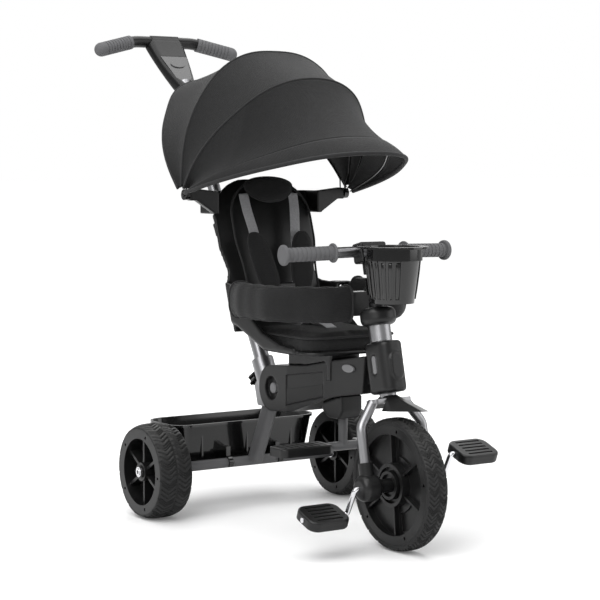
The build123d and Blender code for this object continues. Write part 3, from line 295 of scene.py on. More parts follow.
def puffed(piece: bpy.types.Object, pressure: float, cap: float) -> None:
    """Swells a closed piece with cloth under pressure, and caps how far each point moves.

    Args:
        piece: the cushion, already remeshed.
        pressure: pressure of the filling.
        cap: the furthest that a point may move, in metres.
    """
    rest = points_of(piece.data)
    cloth = piece.modifiers.new("puff", "CLOTH")
    cloth.settings.use_pressure = True
    cloth.settings.uniform_pressure_force = pressure
    cloth.settings.effector_weights.gravity = 0
    cloth.settings.quality = 4
    cloth.collision_settings.use_collision = False
    cloth.point_cache.frame_start = 1
    cloth.point_cache.frame_end = 20
    for number in range(1, 21):
        bpy.context.scene.frame_set(number)
    shown = piece.evaluated_get(bpy.context.evaluated_depsgraph_get())
    shift = points_of(shown.to_mesh()) - rest
    shown.to_mesh_clear()
    piece.modifiers.remove(cloth)
    bpy.context.scene.frame_set(1)
    far = np.linalg.norm(shift, axis=1)[:, None]
    shift *= np.minimum(1, cap / np.maximum(far, 1e-9))
    piece.data.vertices.foreach_set("co", (rest + shift).astype(np.float32).ravel())
    piece.data.update()


def finished(piece: bpy.types.Object, levels: int) -> None:
    """One closing subdivision, with the same level in views and renders."""
    if levels:
        surface = piece.modifiers.new("surface", "SUBSURF")
        surface.levels = surface.render_levels = levels


def smooth_shaded(piece: bpy.types.Object) -> None:
    """Shades every face of a piece smooth."""
    piece.data.polygons.foreach_set("use_smooth", np.ones(len(piece.data.polygons), bool))


# ------------------------------------------------------------------ materials
class Graph:
    """Writes shader nodes into one tree."""

    def __init__(self, tree: bpy.types.NodeTree) -> None:
        """Starts with an empty tree."""
        self.tree = tree
        tree.nodes.clear()

    def node(self, kind: str, feeds: dict | None = None, **settings: object) -> bpy.types.Node:
        """Adds a node, sets its settings and feeds its inputs by name or number."""
        made = self.tree.nodes.new(kind)
        for name, value in settings.items():
            setattr(made, name, value)
        for name, value in (feeds or {}).items():
            self.feed(made.inputs[name], value)
        return made

    def feed(self, socket: bpy.types.NodeSocket, value: object) -> None:
        """Links a socket to another, or sets its value."""
        if isinstance(value, bpy.types.NodeSocket):
            self.tree.links.new(value, socket)
        else:
            socket.default_value = value

    def math(
            self, operation: str, first: object, second: object = 0.0,
            clamp: bool = False) -> bpy.types.NodeSocket:
        """Result of one arithmetic step."""
        return self.node("ShaderNodeMath", {0: first, 1: second}, operation=operation, use_clamp=clamp).outputs[0]

    def vector(self, operation: str, first: object, second: object) -> bpy.types.Node:
        """One vector step."""
        return self.node("ShaderNodeVectorMath", {0: first, 1: second}, operation=operation)

    def noise(
            self, where: object, scale: object, detail: float = 3.0,
            rough: float = 0.5) -> bpy.types.NodeSocket:
        """Noise value at a place."""
        feeds = {"Vector": where, "Scale": scale, "Detail": detail, "Roughness": rough}
        return self.node("ShaderNodeTexNoise", feeds).outputs[0]

    def blend(self, share: object, first: object, second: object) -> bpy.types.NodeSocket:
        """Colour between two colours."""
        made = self.node("ShaderNodeMix", {0: share, 6: first, 7: second}, data_type="RGBA")
        return made.outputs[2]

    def ramp(self, value: object, low: float, high: float) -> bpy.types.NodeSocket:
        """Value stretched from low..high to 0..1 and clamped."""
        feeds = {0: value, 1: low, 2: high, 3: 0.0, 4: 1.0}
        return self.node("ShaderNodeMapRange", feeds, clamp=True).outputs[0]


def new_group(name: str, ins: dict[str, tuple[str, object]], outs: dict[str, str]) -> tuple:
    """Empty shader group with its sockets.

    Args:
        name: name of the group.
        ins: kind and first value of each input.
        outs: kind of each output.

    Returns:
        The group, its writer, its input node and its output node.
    """
    group = bpy.data.node_groups.new(name, "ShaderNodeTree")
    graph = Graph(group)
    for label, (kind, value) in ins.items():
        socket = group.interface.new_socket(label, in_out="INPUT", socket_type=kind)
        if kind == "NodeSocketFloat":
            socket.default_value = value
    for label, kind in outs.items():
        group.interface.new_socket(label, in_out="OUTPUT", socket_type=kind)
    return group, graph, graph.node("NodeGroupInput"), graph.node("NodeGroupOutput")


def soft_edge_group() -> bpy.types.NodeTree:
    """Group that rounds the look of edges and marks where they have rubbed bright."""
    group, graph, given, result = new_group(
        "soft_edge", {"Radius": ("NodeSocketFloat", 0.0012), "Scale": ("NodeSocketFloat", 90.0)},
        {"Normal": "NodeSocketVector", "Rubbed": "NodeSocketFloat"})
    rounded = graph.node("ShaderNodeBevel", {"Radius": given.outputs["Radius"]}, samples=4)
    true = graph.node("ShaderNodeNewGeometry")
    near = graph.vector("DOT_PRODUCT", rounded.outputs[0], true.outputs["Normal"]).outputs["Value"]
    edge = graph.ramp(near, 0.995, 0.80)
    place = graph.node("ShaderNodeTexCoord").outputs["Object"]
    broken = graph.ramp(graph.noise(place, given.outputs["Scale"], 4), 0.42, 0.68)
    graph.feed(result.inputs["Normal"], rounded.outputs[0])
    graph.feed(result.inputs["Rubbed"], graph.math("MULTIPLY", edge, broken))
    return group


def grain_group() -> bpy.types.NodeTree:
    """Group with the fine leathery grain of a mould and slow patches of gloss."""
    group, graph, given, result = new_group(
        "mould_grain", {"Scale": ("NodeSocketFloat", 900.0)},
        {"Height": "NodeSocketFloat", "Patches": "NodeSocketFloat"})
    place = graph.node("ShaderNodeTexCoord").outputs["Object"]
    fine = graph.noise(place, given.outputs["Scale"], 2, 0.6)
    slow = graph.noise(place, 14.0, 3, 0.55)
    graph.feed(result.inputs["Height"], fine)
    graph.feed(result.inputs["Patches"], slow)
    return group


def weave_group() -> bpy.types.NodeTree:
    """Group with crossed threads: the product of waves along two crossed directions."""
    group, graph, given, result = new_group(
        "plain_weave", {"Where": ("NodeSocketVector", None), "Threads": ("NodeSocketFloat", 900.0)},
        {"Height": "NodeSocketFloat", "Fuzz": "NodeSocketFloat"})
    split = graph.node("ShaderNodeSeparateXYZ", {0: given.outputs["Where"]})
    turns = [graph.math("MULTIPLY", split.outputs[k], given.outputs["Threads"]) for k in range(3)]
    waves = [graph.math("SINE", turn) for turn in turns]
    crossed = graph.math(
        "ADD", graph.math("MULTIPLY", waves[0], waves[2]), graph.math("MULTIPLY", waves[1], waves[2]))
    fuzz = graph.noise(given.outputs["Where"], 320.0, 4, 0.65)
    graph.feed(result.inputs["Height"], graph.math("ADD", crossed, fuzz))
    graph.feed(result.inputs["Fuzz"], fuzz)
    return group


def dust_group() -> bpy.types.NodeTree:
    """Group that marks thin dust where a surface faces up."""
    group, graph, given, result = new_group(
        "settled_dust", {"Scale": ("NodeSocketFloat", 35.0)}, {"Dust": "NodeSocketFloat"})
    up = graph.node("ShaderNodeSeparateXYZ", {0: graph.node("ShaderNodeNewGeometry").outputs["Normal"]}).outputs[2]
    place = graph.node("ShaderNodeTexCoord").outputs["Object"]
    spots = graph.ramp(graph.noise(place, given.outputs["Scale"], 5, 0.6), 0.35, 0.75)
    graph.feed(result.inputs["Dust"], graph.math("MULTIPLY", graph.ramp(up, 0.2, 1.0), spots))
    return group


GROUPS: dict[str, bpy.types.NodeTree] = {}


def shared(graph: Graph, name: str, feeds: dict | None = None) -> bpy.types.Node:
    """One of the shared groups, placed in a material."""
    made = graph.tree.nodes.new("ShaderNodeGroup")
    made.node_tree = GROUPS[name]
    for label, value in (feeds or {}).items():
        graph.feed(made.inputs[label], value)
    return made


class Touch(Enum):
    """How a hard surface feels."""

    SATIN = "satin"
    GLOSS = "gloss"
    METAL = "metal"


def grey(value: float, blue: float = 1.03) -> tuple[float, float, float, float]:
    """Nearly neutral colour with a little blue."""
    return (value, value, min(1.0, value * blue), 1.0)


@dataclass(frozen=True)
class HardFinish:
    """Moulded plastic, rubber, paint or plate."""

    name: str
    colour: float
    roughness: float
    touch: Touch = Touch.SATIN
    grain: float = 900.0
    depth: float = 0.08
    edge: float = 0.0010
    rubbed: float = 0.15
    shine: float = 0.36
    plates: bool = False
    dust: float = 0.02

    def build(self) -> bpy.types.Material:
        """Writes the material.

        Returns:
            The material.
        """
        made = bpy.data.materials.new(self.name)
        made.use_nodes = True
        graph = Graph(made.node_tree)
        edge = shared(graph, "soft_edge", {"Radius": self.edge})
        grain = shared(graph, "mould_grain", {"Scale": self.grain})
        dust = shared(graph, "settled_dust")
        tone = graph.blend(grain.outputs["Patches"], grey(self.colour * 0.86), grey(self.colour * 1.14))
        bare = grey(min(1.0, self.colour * 2.2 + 0.03))
        worn = graph.blend(graph.math("MULTIPLY", edge.outputs["Rubbed"], self.rubbed), tone, bare)
        dusty = graph.blend(graph.math("MULTIPLY", dust.outputs["Dust"], self.dust), worn, grey(0.42, 0.94))
        patchy = graph.math("MULTIPLY", grain.outputs["Patches"], 0.10)
        rough = graph.math("ADD", self.roughness - 0.05, patchy, True)
        if self.plates:
            dusty = graph.blend(self.plate_mask(graph), dusty, grey(0.006))
        bump = graph.node("ShaderNodeBump", {
            "Strength": self.depth, "Distance": 0.0004, "Height": grain.outputs["Height"],
            "Normal": edge.outputs["Normal"]})
        shader = graph.node("ShaderNodeBsdfPrincipled", {
            "Base Color": dusty, "Roughness": rough, "Normal": bump.outputs[0],
            "Metallic": 1.0 if self.touch is Touch.METAL else 0.0})
        if self.touch is Touch.GLOSS:
            shader.inputs["Coat Weight"].default_value = 0.6
            shader.inputs["Coat Roughness"].default_value = 0.08
        shader.inputs["Specular IOR Level"].default_value = self.shine
        graph.node("ShaderNodeOutputMaterial", {"Surface": shader.outputs[0]})
        return made

    @staticmethod
    def plate_mask(graph: Graph) -> bpy.types.NodeSocket:
        """One behind the front third of the body, where the blank black plates are."""
        place = graph.node("ShaderNodeTexCoord").outputs["Object"]
        along = graph.node("ShaderNodeSeparateXYZ", {0: place}).outputs[1]
        ahead = graph.math("GREATER_THAN", along, AXLE_Y - 0.34)
        return graph.math("MULTIPLY", ahead, graph.math("LESS_THAN", along, AXLE_Y - 0.19))


@dataclass(frozen=True)
class ClothFinish:
    """Woven cloth or webbing."""

    name: str
    colour: float
    threads: float
    depth: float = 0.35
    sheen: float = 0.25
    patch: float = 0.0

    def build(self) -> bpy.types.Material:
        """Writes the material.

        Returns:
            The material.
        """
        made = bpy.data.materials.new(self.name)
        made.use_nodes = True
        graph = Graph(made.node_tree)
        place = graph.node("ShaderNodeTexCoord").outputs["Object"]
        weave = shared(graph, "plain_weave", {"Where": place, "Threads": self.threads})
        dust = shared(graph, "settled_dust", {"Scale": 60.0})
        slow = graph.noise(place, 9.0, 3, 0.5)
        tone = graph.blend(slow, grey(self.colour * 0.85), grey(self.colour * 1.15))
        fuzzy = graph.blend(graph.ramp(weave.outputs["Fuzz"], 0.35, 0.7), tone, grey(self.colour * 1.35))
        if self.patch:
            net = graph.node("ShaderNodeAttribute", attribute_name="net")
            holes = graph.node("ShaderNodeTexVoronoi", {"Vector": place, "Scale": 420.0}).outputs[0]
            dots = graph.ramp(holes, 0.25, 0.55)
            share = graph.math("MULTIPLY", net.outputs["Fac"], dots)
            fuzzy = graph.blend(graph.math("MULTIPLY", share, self.patch), fuzzy, grey(self.colour * 2.6))
        colour = graph.blend(graph.math("MULTIPLY", dust.outputs["Dust"], 0.012), fuzzy, grey(0.45))
        bump = graph.node("ShaderNodeBump", {
            "Strength": self.depth, "Distance": 0.0006, "Height": weave.outputs["Height"]})
        shader = graph.node("ShaderNodeBsdfPrincipled", {
            "Base Color": colour, "Normal": bump.outputs[0],
            "Roughness": graph.ramp(weave.outputs["Fuzz"], -0.9, 0.8)})
        shader.inputs["Sheen Weight"].default_value = self.sheen
        shader.inputs["Sheen Roughness"].default_value = 0.5
        shader.inputs["Specular IOR Level"].default_value = 0.25
        graph.node("ShaderNodeOutputMaterial", {"Surface": shader.outputs[0]})
        return made


class Paint(Enum):
    """The finishes of the tricycle."""

    CHARCOAL = HardFinish("charcoal_moulding", 0.008, 0.36)
    BODY_CHARCOAL = HardFinish("body_charcoal", 0.0075, 0.33, edge=0.0045)
    GLOSS_BLACK = HardFinish(
        "gloss_black_moulding", 0.002, 0.12, Touch.GLOSS, depth=0.02, rubbed=0.05, dust=0.004)
    WHEEL_BLACK = HardFinish("wheel_black", 0.006, 0.34, depth=0.05)
    TREAD = HardFinish("tread_rubber", 0.010, 0.60, grain=600.0, depth=0.15, dust=0.12)
    FRAME_SILVER = HardFinish("frame_silver", 0.34, 0.34, Touch.METAL, grain=1500.0, depth=0.05)
    FRAME_GREY = HardFinish("frame_grey", 0.085, 0.40, grain=1500.0, depth=0.05)
    PLATE = HardFinish("bright_plate", 0.72, 0.16, Touch.METAL, depth=0.01, rubbed=0.0)
    HANDLE_GREY = HardFinish("handle_grey", 0.006, 0.30, depth=0.02, shine=0.3)
    # A slot of the record has this finish's name, so material() finds that slot's plain
    # material and this one is never built. Renaming it would dress the grips in it.
    GRIP_RUBBER = HardFinish(
        "grip_rubber", 0.003, 0.42, grain=500.0, depth=0.12, rubbed=0.02, shine=0.1, dust=0.0)
    LIGHT_GREY = HardFinish("light_grey_moulding", 0.16, 0.36, plates=True)
    BADGE = HardFinish("badge_plate", 0.035, 0.30, Touch.GLOSS)
    CANOPY = ClothFinish("canopy_cloth", 0.0075, 2600.0, sheen=0.06, patch=0.35)
    PAD = ClothFinish("pad_cloth", 0.0085, 2300.0, depth=0.45, sheen=0.10)
    PIPING = ClothFinish("piping_cloth", 0.016, 2600.0, sheen=0.08)
    WEBBING = ClothFinish("grey_webbing", 0.32, 3200.0, depth=0.6, sheen=0.1)

    def material(self) -> bpy.types.Material:
        """The finish's material, built the first time."""
        return bpy.data.materials.get(self.value.name) or self.value.build()


def dress(piece: bpy.types.Object, paint: Paint) -> bpy.types.Object:
    """Gives a piece one finish."""
    material = paint.material()
    if piece.material_slots:
        for slot in piece.material_slots:
            slot.link = "OBJECT"
            slot.material = material
    else:
        piece.data.materials.append(material)
    return piece


def report(piece: bpy.types.Object, what: str) -> None:
    """Logs a finished piece."""
    LOG.info("%s: %s, %d faces", piece.name, what, len(piece.data.polygons))


# ------------------------------------------------------------------ frames of the pieces
def lean_matrix(origin: tuple[float, float, float], lean: float) -> Matrix:
    """From (across, rearwards, up the lean) to the row frame, for an axis leaning back."""
    a = radians(lean)
    turn = Matrix(((1, 0, 0), (0, cos(a), sin(a)), (0, -sin(a), cos(a))))
    return Matrix.Translation(origin) @ turn.to_4x4()


# ------------------------------------------------------------------ wheels
@dataclass
class Tyre:
    """One tyre with its moulded tread."""

    node: str
    body: str
    pitches: int
    crown: float
    depth: float = 2.6 * MM
    turns: int = 1100
    across: int = 34

    def build(self) -> bpy.types.Object:
        """Tyre as a ring of revolution with its tread pressed in.

        The section runs across the crowned tread and down both side walls to the inner
        ring. The radius of a tread point is the crown's radius less depth where the
        pattern is a groove. The pattern is bars that run zigzag from the middle line to
        each shoulder, in groups, with a mirrored row on the other side.

        Returns:
            The tyre.
        """
        low, high = (np.array(corner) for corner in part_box(self.node))
        middle = (low + high) / 2
        radius = (high[2] - low[2]) / 2
        half = (high[0] - low[0]) / 2
        share = np.linspace(-1, 1, self.across)
        top = radius - self.crown * np.abs(share) ** 3.2
        wall_depth = np.array([0.35, 0.7, 1.0])
        inner = radius * 0.9
        wall = top[-1] + (inner - top[-1]) * wall_depth
        offset = np.r_[share, np.ones(3), -np.ones(3)] * half
        offset[self.across:] += np.r_[[0.0003, 0.0002, 0], [0, -0.0002, -0.0003]]
        ring = np.r_[top, wall, wall[::-1]]
        v = np.r_[share, np.ones(3), -np.ones(3)]
        angle = np.linspace(0, 2 * np.pi, self.turns, endpoint=False)
        u = angle[:, None] * self.pitches / (2 * np.pi)
        groove = self.pattern(u, v[None, :])
        fade = np.r_[np.ones(self.across), [0.8, 0, 0], [0, 0, 0.8]]
        distance = ring[None, :] - self.depth * groove * fade[None, :]
        points = np.stack([
            middle[0] + np.broadcast_to(offset[None, :], distance.shape),
            middle[1] + distance * np.cos(angle)[:, None],
            middle[2] + distance * np.sin(angle)[:, None]], -1).reshape(-1, 3)
        piece = mesh_of(self.node + "_tread", points, grid_faces(self.turns, len(ring), True, True))
        outwards(piece)
        dress(piece, Paint.TREAD)
        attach(piece, self.body)
        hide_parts(self.node)
        report(piece, "tread ring")
        return piece

    @staticmethod
    def pattern(u: np.ndarray, v: np.ndarray) -> np.ndarray:
        """How deep the tread is cut at u pitches round and share v across, from 0 to 1.

        Four slanting bars fill each pitch. They bend at the half of each side, so that
        they form a V, and the two sides mirror each other half a pitch apart.
        """
        side = np.where(v > 0, 0.5, 0.0)
        a = np.abs(v)
        slant = 0.34 * np.abs(2 * np.clip(a, 0, 1) - 1)
        where = u + side + slant
        bar = np.abs((where * 4) % 1 - 0.5)
        cut = np.clip((0.17 - bar) / 0.06, 0, 1)
        block = np.abs(where % 1 - 0.5)
        cut = np.where(block > 0.44, 0.0, cut)
        line = np.clip((0.035 - np.abs(a - 0.02)) / 0.02, 0, 1)
        edge = np.clip((0.93 - a) / 0.06, 0, 1)
        wide = np.clip((np.abs((u + side + slant) % 1 - 0.5) - 0.455) / 0.02, 0, 1)
        return np.clip(np.maximum(np.maximum(cut * edge, wide), line), 0, 1)


# ------------------------------------------------------------------ canopy
@dataclass(frozen=True)
class Hoop:
    """One arch of the canopy: its angle from upright, height over the pivot and fullness."""

    angle: float
    height: float
    fullness: float

    def line(self, count: int, grow: float = 0.0, foot: float = 17 * MM) -> np.ndarray:
        """Points along the hoop, from the rider's right foot to the left one.

        The arch has four corners: a knee at fullness of its height on each side, and a
        brow at fullness of its half width. All are rounded until the arcs nearly meet.

        Args:
            count: how many points.
            grow: how far the hoop stands outside its nominal line.
            foot: where its legs start, over the pivot.

        Returns:
            The points in the row frame.
        """
        w = Canopy.half + grow
        h = self.height + grow
        knee = self.fullness * h
        brow = self.fullness * w
        slant = hypot(w - brow, h - knee)
        knee_turn = np.arctan2(w - brow, h - knee)
        brow_turn = np.arctan2(h - knee, w - brow)
        radii = [
            0.93 * min(knee - 40 * MM, slant / 2) / tan(knee_turn / 2),
            0.93 * min(brow, slant / 2) / tan(brow_turn / 2)]
        corners = np.array([(-w, foot), (-w, knee), (-brow, h), (brow, h), (w, knee), (w, foot)])
        flat = evenly(softened(evenly(filleted(corners, radii + radii[::-1], 4 * MM), 240), 60), count)
        a = radians(self.angle)
        x, z = flat[:, 0], flat[:, 1]
        pivot = Canopy.pivot()
        return np.stack([x, pivot[1] + z * sin(a), pivot[2] + z * cos(a)], 1)


@dataclass
class Canopy:
    """Folding canopy: three stretched panels, the stiff visor and their piping."""

    half = 203 * MM
    rear: Hoop = Hoop(44.0, 336 * MM, 0.41)
    mid: Hoop = Hoop(-6.0, 289 * MM, 0.51)
    front: Hoop = Hoop(-38.0, 290 * MM, 0.44)
    visor: Hoop = Hoop(-71.5, 350 * MM, 0.39)
    lip: Hoop = Hoop(-78.0, 395 * MM, 0.42)
    columns: int = 121
    rows: int = 25
    cloth: float = 1.6 * MM

    @staticmethod
    def pivot() -> np.ndarray:
        """Middle of the axis that all hoops turn about."""
        return np.array(JOINTS["canopy_mid_fold"]["pos_m"])

    def panel(self, name: str, first: np.ndarray, last: np.ndarray, sag: float, pull: np.ndarray | None) -> bpy.types.Object:
        """Stretched cloth between two hoops.

        A point is on the straight line between the same places of both hoops, drawn in
        towards the middle of the canopy by sag times four t (1 - t). Where pull is
        given, the line leaves the first hoop straight and arrives along pull.

        Args:
            name: name of the piece.
            first: points of the first hoop.
            last: points of the second hoop.
            sag: how far the middle is drawn in.
            pull: direction and length in which it arrives at the second hoop.

        Returns:
            The panel.
        """
        t = np.linspace(0, 1, self.rows)[:, None, None]
        line = first + (last - first) * t
        if pull is not None:
            chord = last - first
            line = line + (t ** 3 - t ** 2) * (pull - chord)
        inwards = self.pivot() + np.array([0, 0, 60 * MM]) - line
        inwards /= np.linalg.norm(inwards, axis=-1)[..., None]
        line = line + inwards * sag * 4 * t * (1 - t)
        points = line.reshape(-1, 3)
        piece = mesh_of(name, points, grid_faces(self.rows, self.columns, False, False))
        wall = piece.modifiers.new("cloth", "SOLIDIFY")
        wall.thickness = self.cloth
        wall.offset = 1.0
        self.face_outwards(piece)
        s = np.broadcast_to(np.linspace(0, 1, self.columns)[None, :], (self.rows, self.columns))
        share = np.broadcast_to(t[..., 0], (self.rows, self.columns))
        side = np.minimum(s, 1 - s)
        net = ((side < 0.30 - 0.16 * share) & (side > 0.035)).astype(np.float32) if pull is not None else np.zeros(s.shape, np.float32)
        piece.data.attributes.new("net", "FLOAT", "POINT").data.foreach_set("value", net.ravel())
        return piece

    def face_outwards(self, piece: bpy.types.Object) -> None:
        """Turns an open panel's faces away from the canopy's middle."""
        middle = Vector(self.pivot()) + Vector((0, -0.05, 0.05))
        face = piece.data.polygons[len(piece.data.polygons) // 2]
        if face.normal.dot(face.center - middle) < 0:
            piece.data.flip_normals()

    def join(self, piece: bpy.types.Object, first: Hoop, last: Hoop, bodies: tuple[str, str]) -> None:
        """Bakes a panel's placement into its mesh."""
        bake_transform(piece)

    def build(self) -> None:
        """Makes the panels, the visor and the piping."""
        rear, mid, front, visor, lip = (
            hoop.line(self.columns, 0.2 * MM) for hoop in (self.rear, self.mid, self.front, self.visor, self.lip))
        panels = [
            ("canopy_panel_rear", rear, mid, 5 * MM, None, "canopy_cloth_rear", (self.rear, self.mid), ("frame", "canopy_mid")),
            ("canopy_panel_mid", mid, front, 3 * MM, None, "canopy_cloth_mid", (self.mid, self.front), ("canopy_mid", "canopy_front")),
            ("canopy_panel_front", front, visor, 12 * MM, (visor - front) * 0.35 + (lip - visor) * 1.6, "canopy_cloth_front",
             (self.front, self.visor), ("canopy_front", "canopy_visor")),
        ]
        for name, first, last, sag, pull, node, hoops, bodies in panels:
            piece = self.panel(name, first, last, sag, pull)
            dress(piece, Paint.CANOPY)
            self.join(piece, *hoops, bodies)
            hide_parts(node)
            report(piece, "stretched panel")
        self.brim(visor, lip)
        for name, line, body, radius in (
                ("piping_rear", rear, "frame", 2.6), ("piping_mid", mid, "canopy_mid", 2.4),
                ("piping_front", front, "canopy_front", 2.4), ("piping_visor", visor, "canopy_visor", 2.0)):
            piece = tube(name, self.outside(line, 1.2 * MM), radius * MM)
            dress(piece, Paint.PIPING)
            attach(piece, body)
            report(piece, "piped seam")

    def outside(self, line: np.ndarray, grow: float) -> np.ndarray:
        """A hoop's line moved away from the canopy's middle."""
        away = line - (self.pivot() + np.array([0, 0, 0.05]))
        away /= np.linalg.norm(away, axis=1)[:, None]
        return line + away * grow

    def brim(self, visor: np.ndarray, lip: np.ndarray) -> None:
        """Visor that sweeps from its wire to a rolled hem at the lip.

        It is the straight line between both hoops with a lift of two millimetres in the
        middle, and ends in a tube along the lip.
        """
        t = np.linspace(0, 1, 13)[:, None, None]
        line = visor + (lip - visor) * t
        line[..., 2] += 2 * MM * np.sin(np.pi * t[..., 0])
        piece = mesh_of("canopy_brim", line.reshape(-1, 3), grid_faces(13, self.columns, False, False))
        self.face_outwards(piece)
        wall = piece.modifiers.new("stiff", "SOLIDIFY")
        wall.thickness = 2.6 * MM
        wall.offset = 1.0
        piece.data.attributes.new("net", "FLOAT", "POINT").data.foreach_set(
            "value", np.zeros(len(piece.data.vertices), np.float32))
        dress(piece, Paint.CANOPY)
        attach(piece, "canopy_visor")
        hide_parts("canopy_visor")
        report(piece, "stiff brim")
        hem = tube("canopy_hem", lip, 4.2 * MM)
        dress(hem, Paint.PIPING)
        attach(hem, "canopy_visor")
        wire = tube("visor_wire", self.visor.line(self.columns, -2.8 * MM, 11 * MM), 1.5 * MM)
        dress(wire, Paint.GLOSS_BLACK)
        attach(wire, "canopy_visor")
        report(hem, "rolled hem")


# ------------------------------------------------------------------ seat
@dataclass
class Cushions:
    """Seat, back, head and shoulder pads with their piping, straps and the ring's sleeves."""

    lean: float = 18.0
    foot: tuple[float, float, float] = (0.0, -124 * MM, 362 * MM)
    pad_face: float = -30 * MM
    voxel: float = 4.5 * MM
    surfaces: dict[str, BVHTree] = field(default_factory=dict)

    def place(self) -> Matrix:
        """From (across, rearwards, up the back) to the row frame."""
        return lean_matrix((self.foot[0], self.foot[1] + AXLE_Y, self.foot[2]), self.lean)

    def stuffed(self, node: str, name: str, channels: list[np.ndarray], cap: float) -> bpy.types.Object:
        """Cushion swollen from its CAD block, with sewn channels pressed in.

        A point within a few millimetres of a channel's line sinks towards the block's
        middle by three millimetres times a bell curve of its distance.

        Args:
            node: CAD node that it replaces.
            name: name of the piece.
            channels: lines of points along which it is sewn down.
            cap: the furthest that a point may swell.

        Returns:
            The cushion.
        """
        piece = copy_of(node, name)
        remeshed(piece, self.voxel, 6)
        puffed(piece, 4.0, cap)
        finished(piece, 1)
        applied(piece)
        points = points_of(piece.data)
        normals = np.zeros(len(points) * 3, np.float32)
        piece.data.vertex_normals.foreach_get("vector", normals)
        normals = normals.reshape(-1, 3)
        press = np.zeros(len(points))
        for line in channels:
            far = np.full(len(points), 1.0)
            for block in np.array_split(np.arange(len(line)), max(1, len(line) // 40)):
                gap = np.linalg.norm(points[:, None, :] - line[None, block, :], axis=2).min(1)
                far = np.minimum(far, gap)
            press = np.maximum(press, np.exp(-(far / (5 * MM)) ** 2))
        points -= normals * (press * 3.5 * MM)[:, None]
        piece.data.vertices.foreach_set("co", points.astype(np.float32).ravel())
        piece.data.update()
        smooth_shaded(piece)
        dress(piece, Paint.PAD)
        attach(piece, "frame")
        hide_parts(node)
        report(piece, "stuffed cushion")
        return piece

    def cast(self, piece: bpy.types.Object, flat: np.ndarray, proud: float) -> np.ndarray:
        """Points of a line on the back cushion's front.

        Args:
            piece: the cushion.
            flat: the line in (across, up the back).
            proud: how far the line stands off the cushion.

        Returns:
            The points in the row frame.
        """
        if piece.name not in self.surfaces:
            self.surfaces[piece.name] = BVHTree.FromObject(piece, bpy.context.evaluated_depsgraph_get())
        surface = self.surfaces[piece.name]
        place = self.place()
        into = place.to_3x3() @ Vector((0, 1, 0))
        found = []
        for across, up in flat:
            start = place @ Vector((across, -0.12, up))
            hit = surface.ray_cast(start, into)[0]
            found.append(hit - into * proud if hit else place @ Vector((across, self.pad_face - proud, up)))
        return softened(np.array(found), 3)

    def piping(
            self, name: str, line: np.ndarray, body: str, radius: float = 1.8 * MM,
            closed: bool = False) -> None:
        """Piped seam along a line.

        Args:
            name: name of the piece.
            line: its points.
            body: the body that it rides on.
            radius: half its thickness.
            closed: whether its ends join.
        """
        piece = closed_tube(name, line, radius) if closed else tube(name, line, radius, 8)
        dress(piece, Paint.PIPING)
        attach(piece, body)

    def strap(
            self, name: str, middle: np.ndarray, width: float, off: np.ndarray, paint: Paint,
            thick: float = 1.6 * MM) -> bpy.types.Object:
        """Flat webbing along a line.

        Across the line a point is the middle plus a share of the width, and the faces
        stand half the thickness off the middle along off.

        Args:
            name: name of the piece.
            middle: the line that it follows.
            width: its width.
            off: the way its face looks.
            paint: its finish.
            thick: its thickness.

        Returns:
            The webbing.
        """
        along = np.gradient(middle, axis=0)
        along /= np.linalg.norm(along, axis=1)[:, None]
        across = np.cross(along, off)
        across /= np.linalg.norm(across, axis=1)[:, None]
        up = np.cross(across, along)
        share = np.array([-1, -0.96, -0.88, 0, 0.88, 0.96, 1, 0.96, 0.88, 0, -0.88, -0.96])
        rise = np.array([0, 0.7, 0.85, 1, 0.85, 0.7, 0, -0.7, -0.85, -1, -0.85, -0.7])
        ring = (middle[:, None] + across[:, None] * (share * width / 2)[None, :, None]
                + up[:, None] * (rise * thick / 2)[None, :, None])
        count, sides = ring.shape[:2]
        faces = grid_faces(count, sides, False, True).tolist()
        faces.append(list(range(sides)))
        faces.append(list(range((count - 1) * sides, count * sides))[::-1])
        piece = mesh_of(name, ring.reshape(-1, 3), faces)
        outwards(piece)
        dress(piece, paint)
        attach(piece, "frame")
        report(piece, "webbing")
        return piece

    def back_line(
            self, corners: list[tuple[float, float]], radius: float, count: int,
            top: float = 0.0) -> np.ndarray:
        """Rounded line on the back in (across, up), from corners in millimetres.

        Args:
            corners: its corners.
            radius: radius of its bends.
            count: how many points to return.
            top: radius of the two top bends, if it differs.

        Returns:
            The points.
        """
        radii = [radius * MM] * (len(corners) - 2)
        if top:
            radii[2:4] = [top * MM] * 2
        rounded = filleted(np.array(corners) * MM, radii, 3 * MM)
        return evenly(rounded, count)

    def build(self) -> None:
        """Makes every soft piece of the seat."""
        place = self.place()
        matrix = np.array(place)
        edge = self.back_line([
            (-82, 42), (-86, 150), (-95, 205), (-95, 330),
            (95, 330), (95, 205), (86, 150), (82, 42)], 34, 150, 74)
        bell = self.back_line([
            (-50, 60), (-56, 150), (-62, 240), (-52, 292),
            (52, 292), (62, 240), (56, 150), (50, 60)], 30, 120)

        def at(flat: np.ndarray, depth: float) -> np.ndarray:
            """Row-frame points of a line on the back at one depth."""
            local = np.c_[flat[:, 0], np.full(len(flat), depth), flat[:, 1], np.ones(len(flat))]
            return (local @ matrix.T)[:, :3]

        back = self.stuffed("back_pad", "back_cushion", [at(bell, self.pad_face - 5 * MM)], 9 * MM)
        self.piping("back_edge_piping", self.cast(back, edge, 0.5 * MM), "frame", 2.2 * MM)
        self.piping("back_bell_piping", self.cast(back, bell, 0.2 * MM), "frame", 1.5 * MM)
        self.seat()
        self.head(place)
        self.shoulders(back, place)
        self.sleeves()

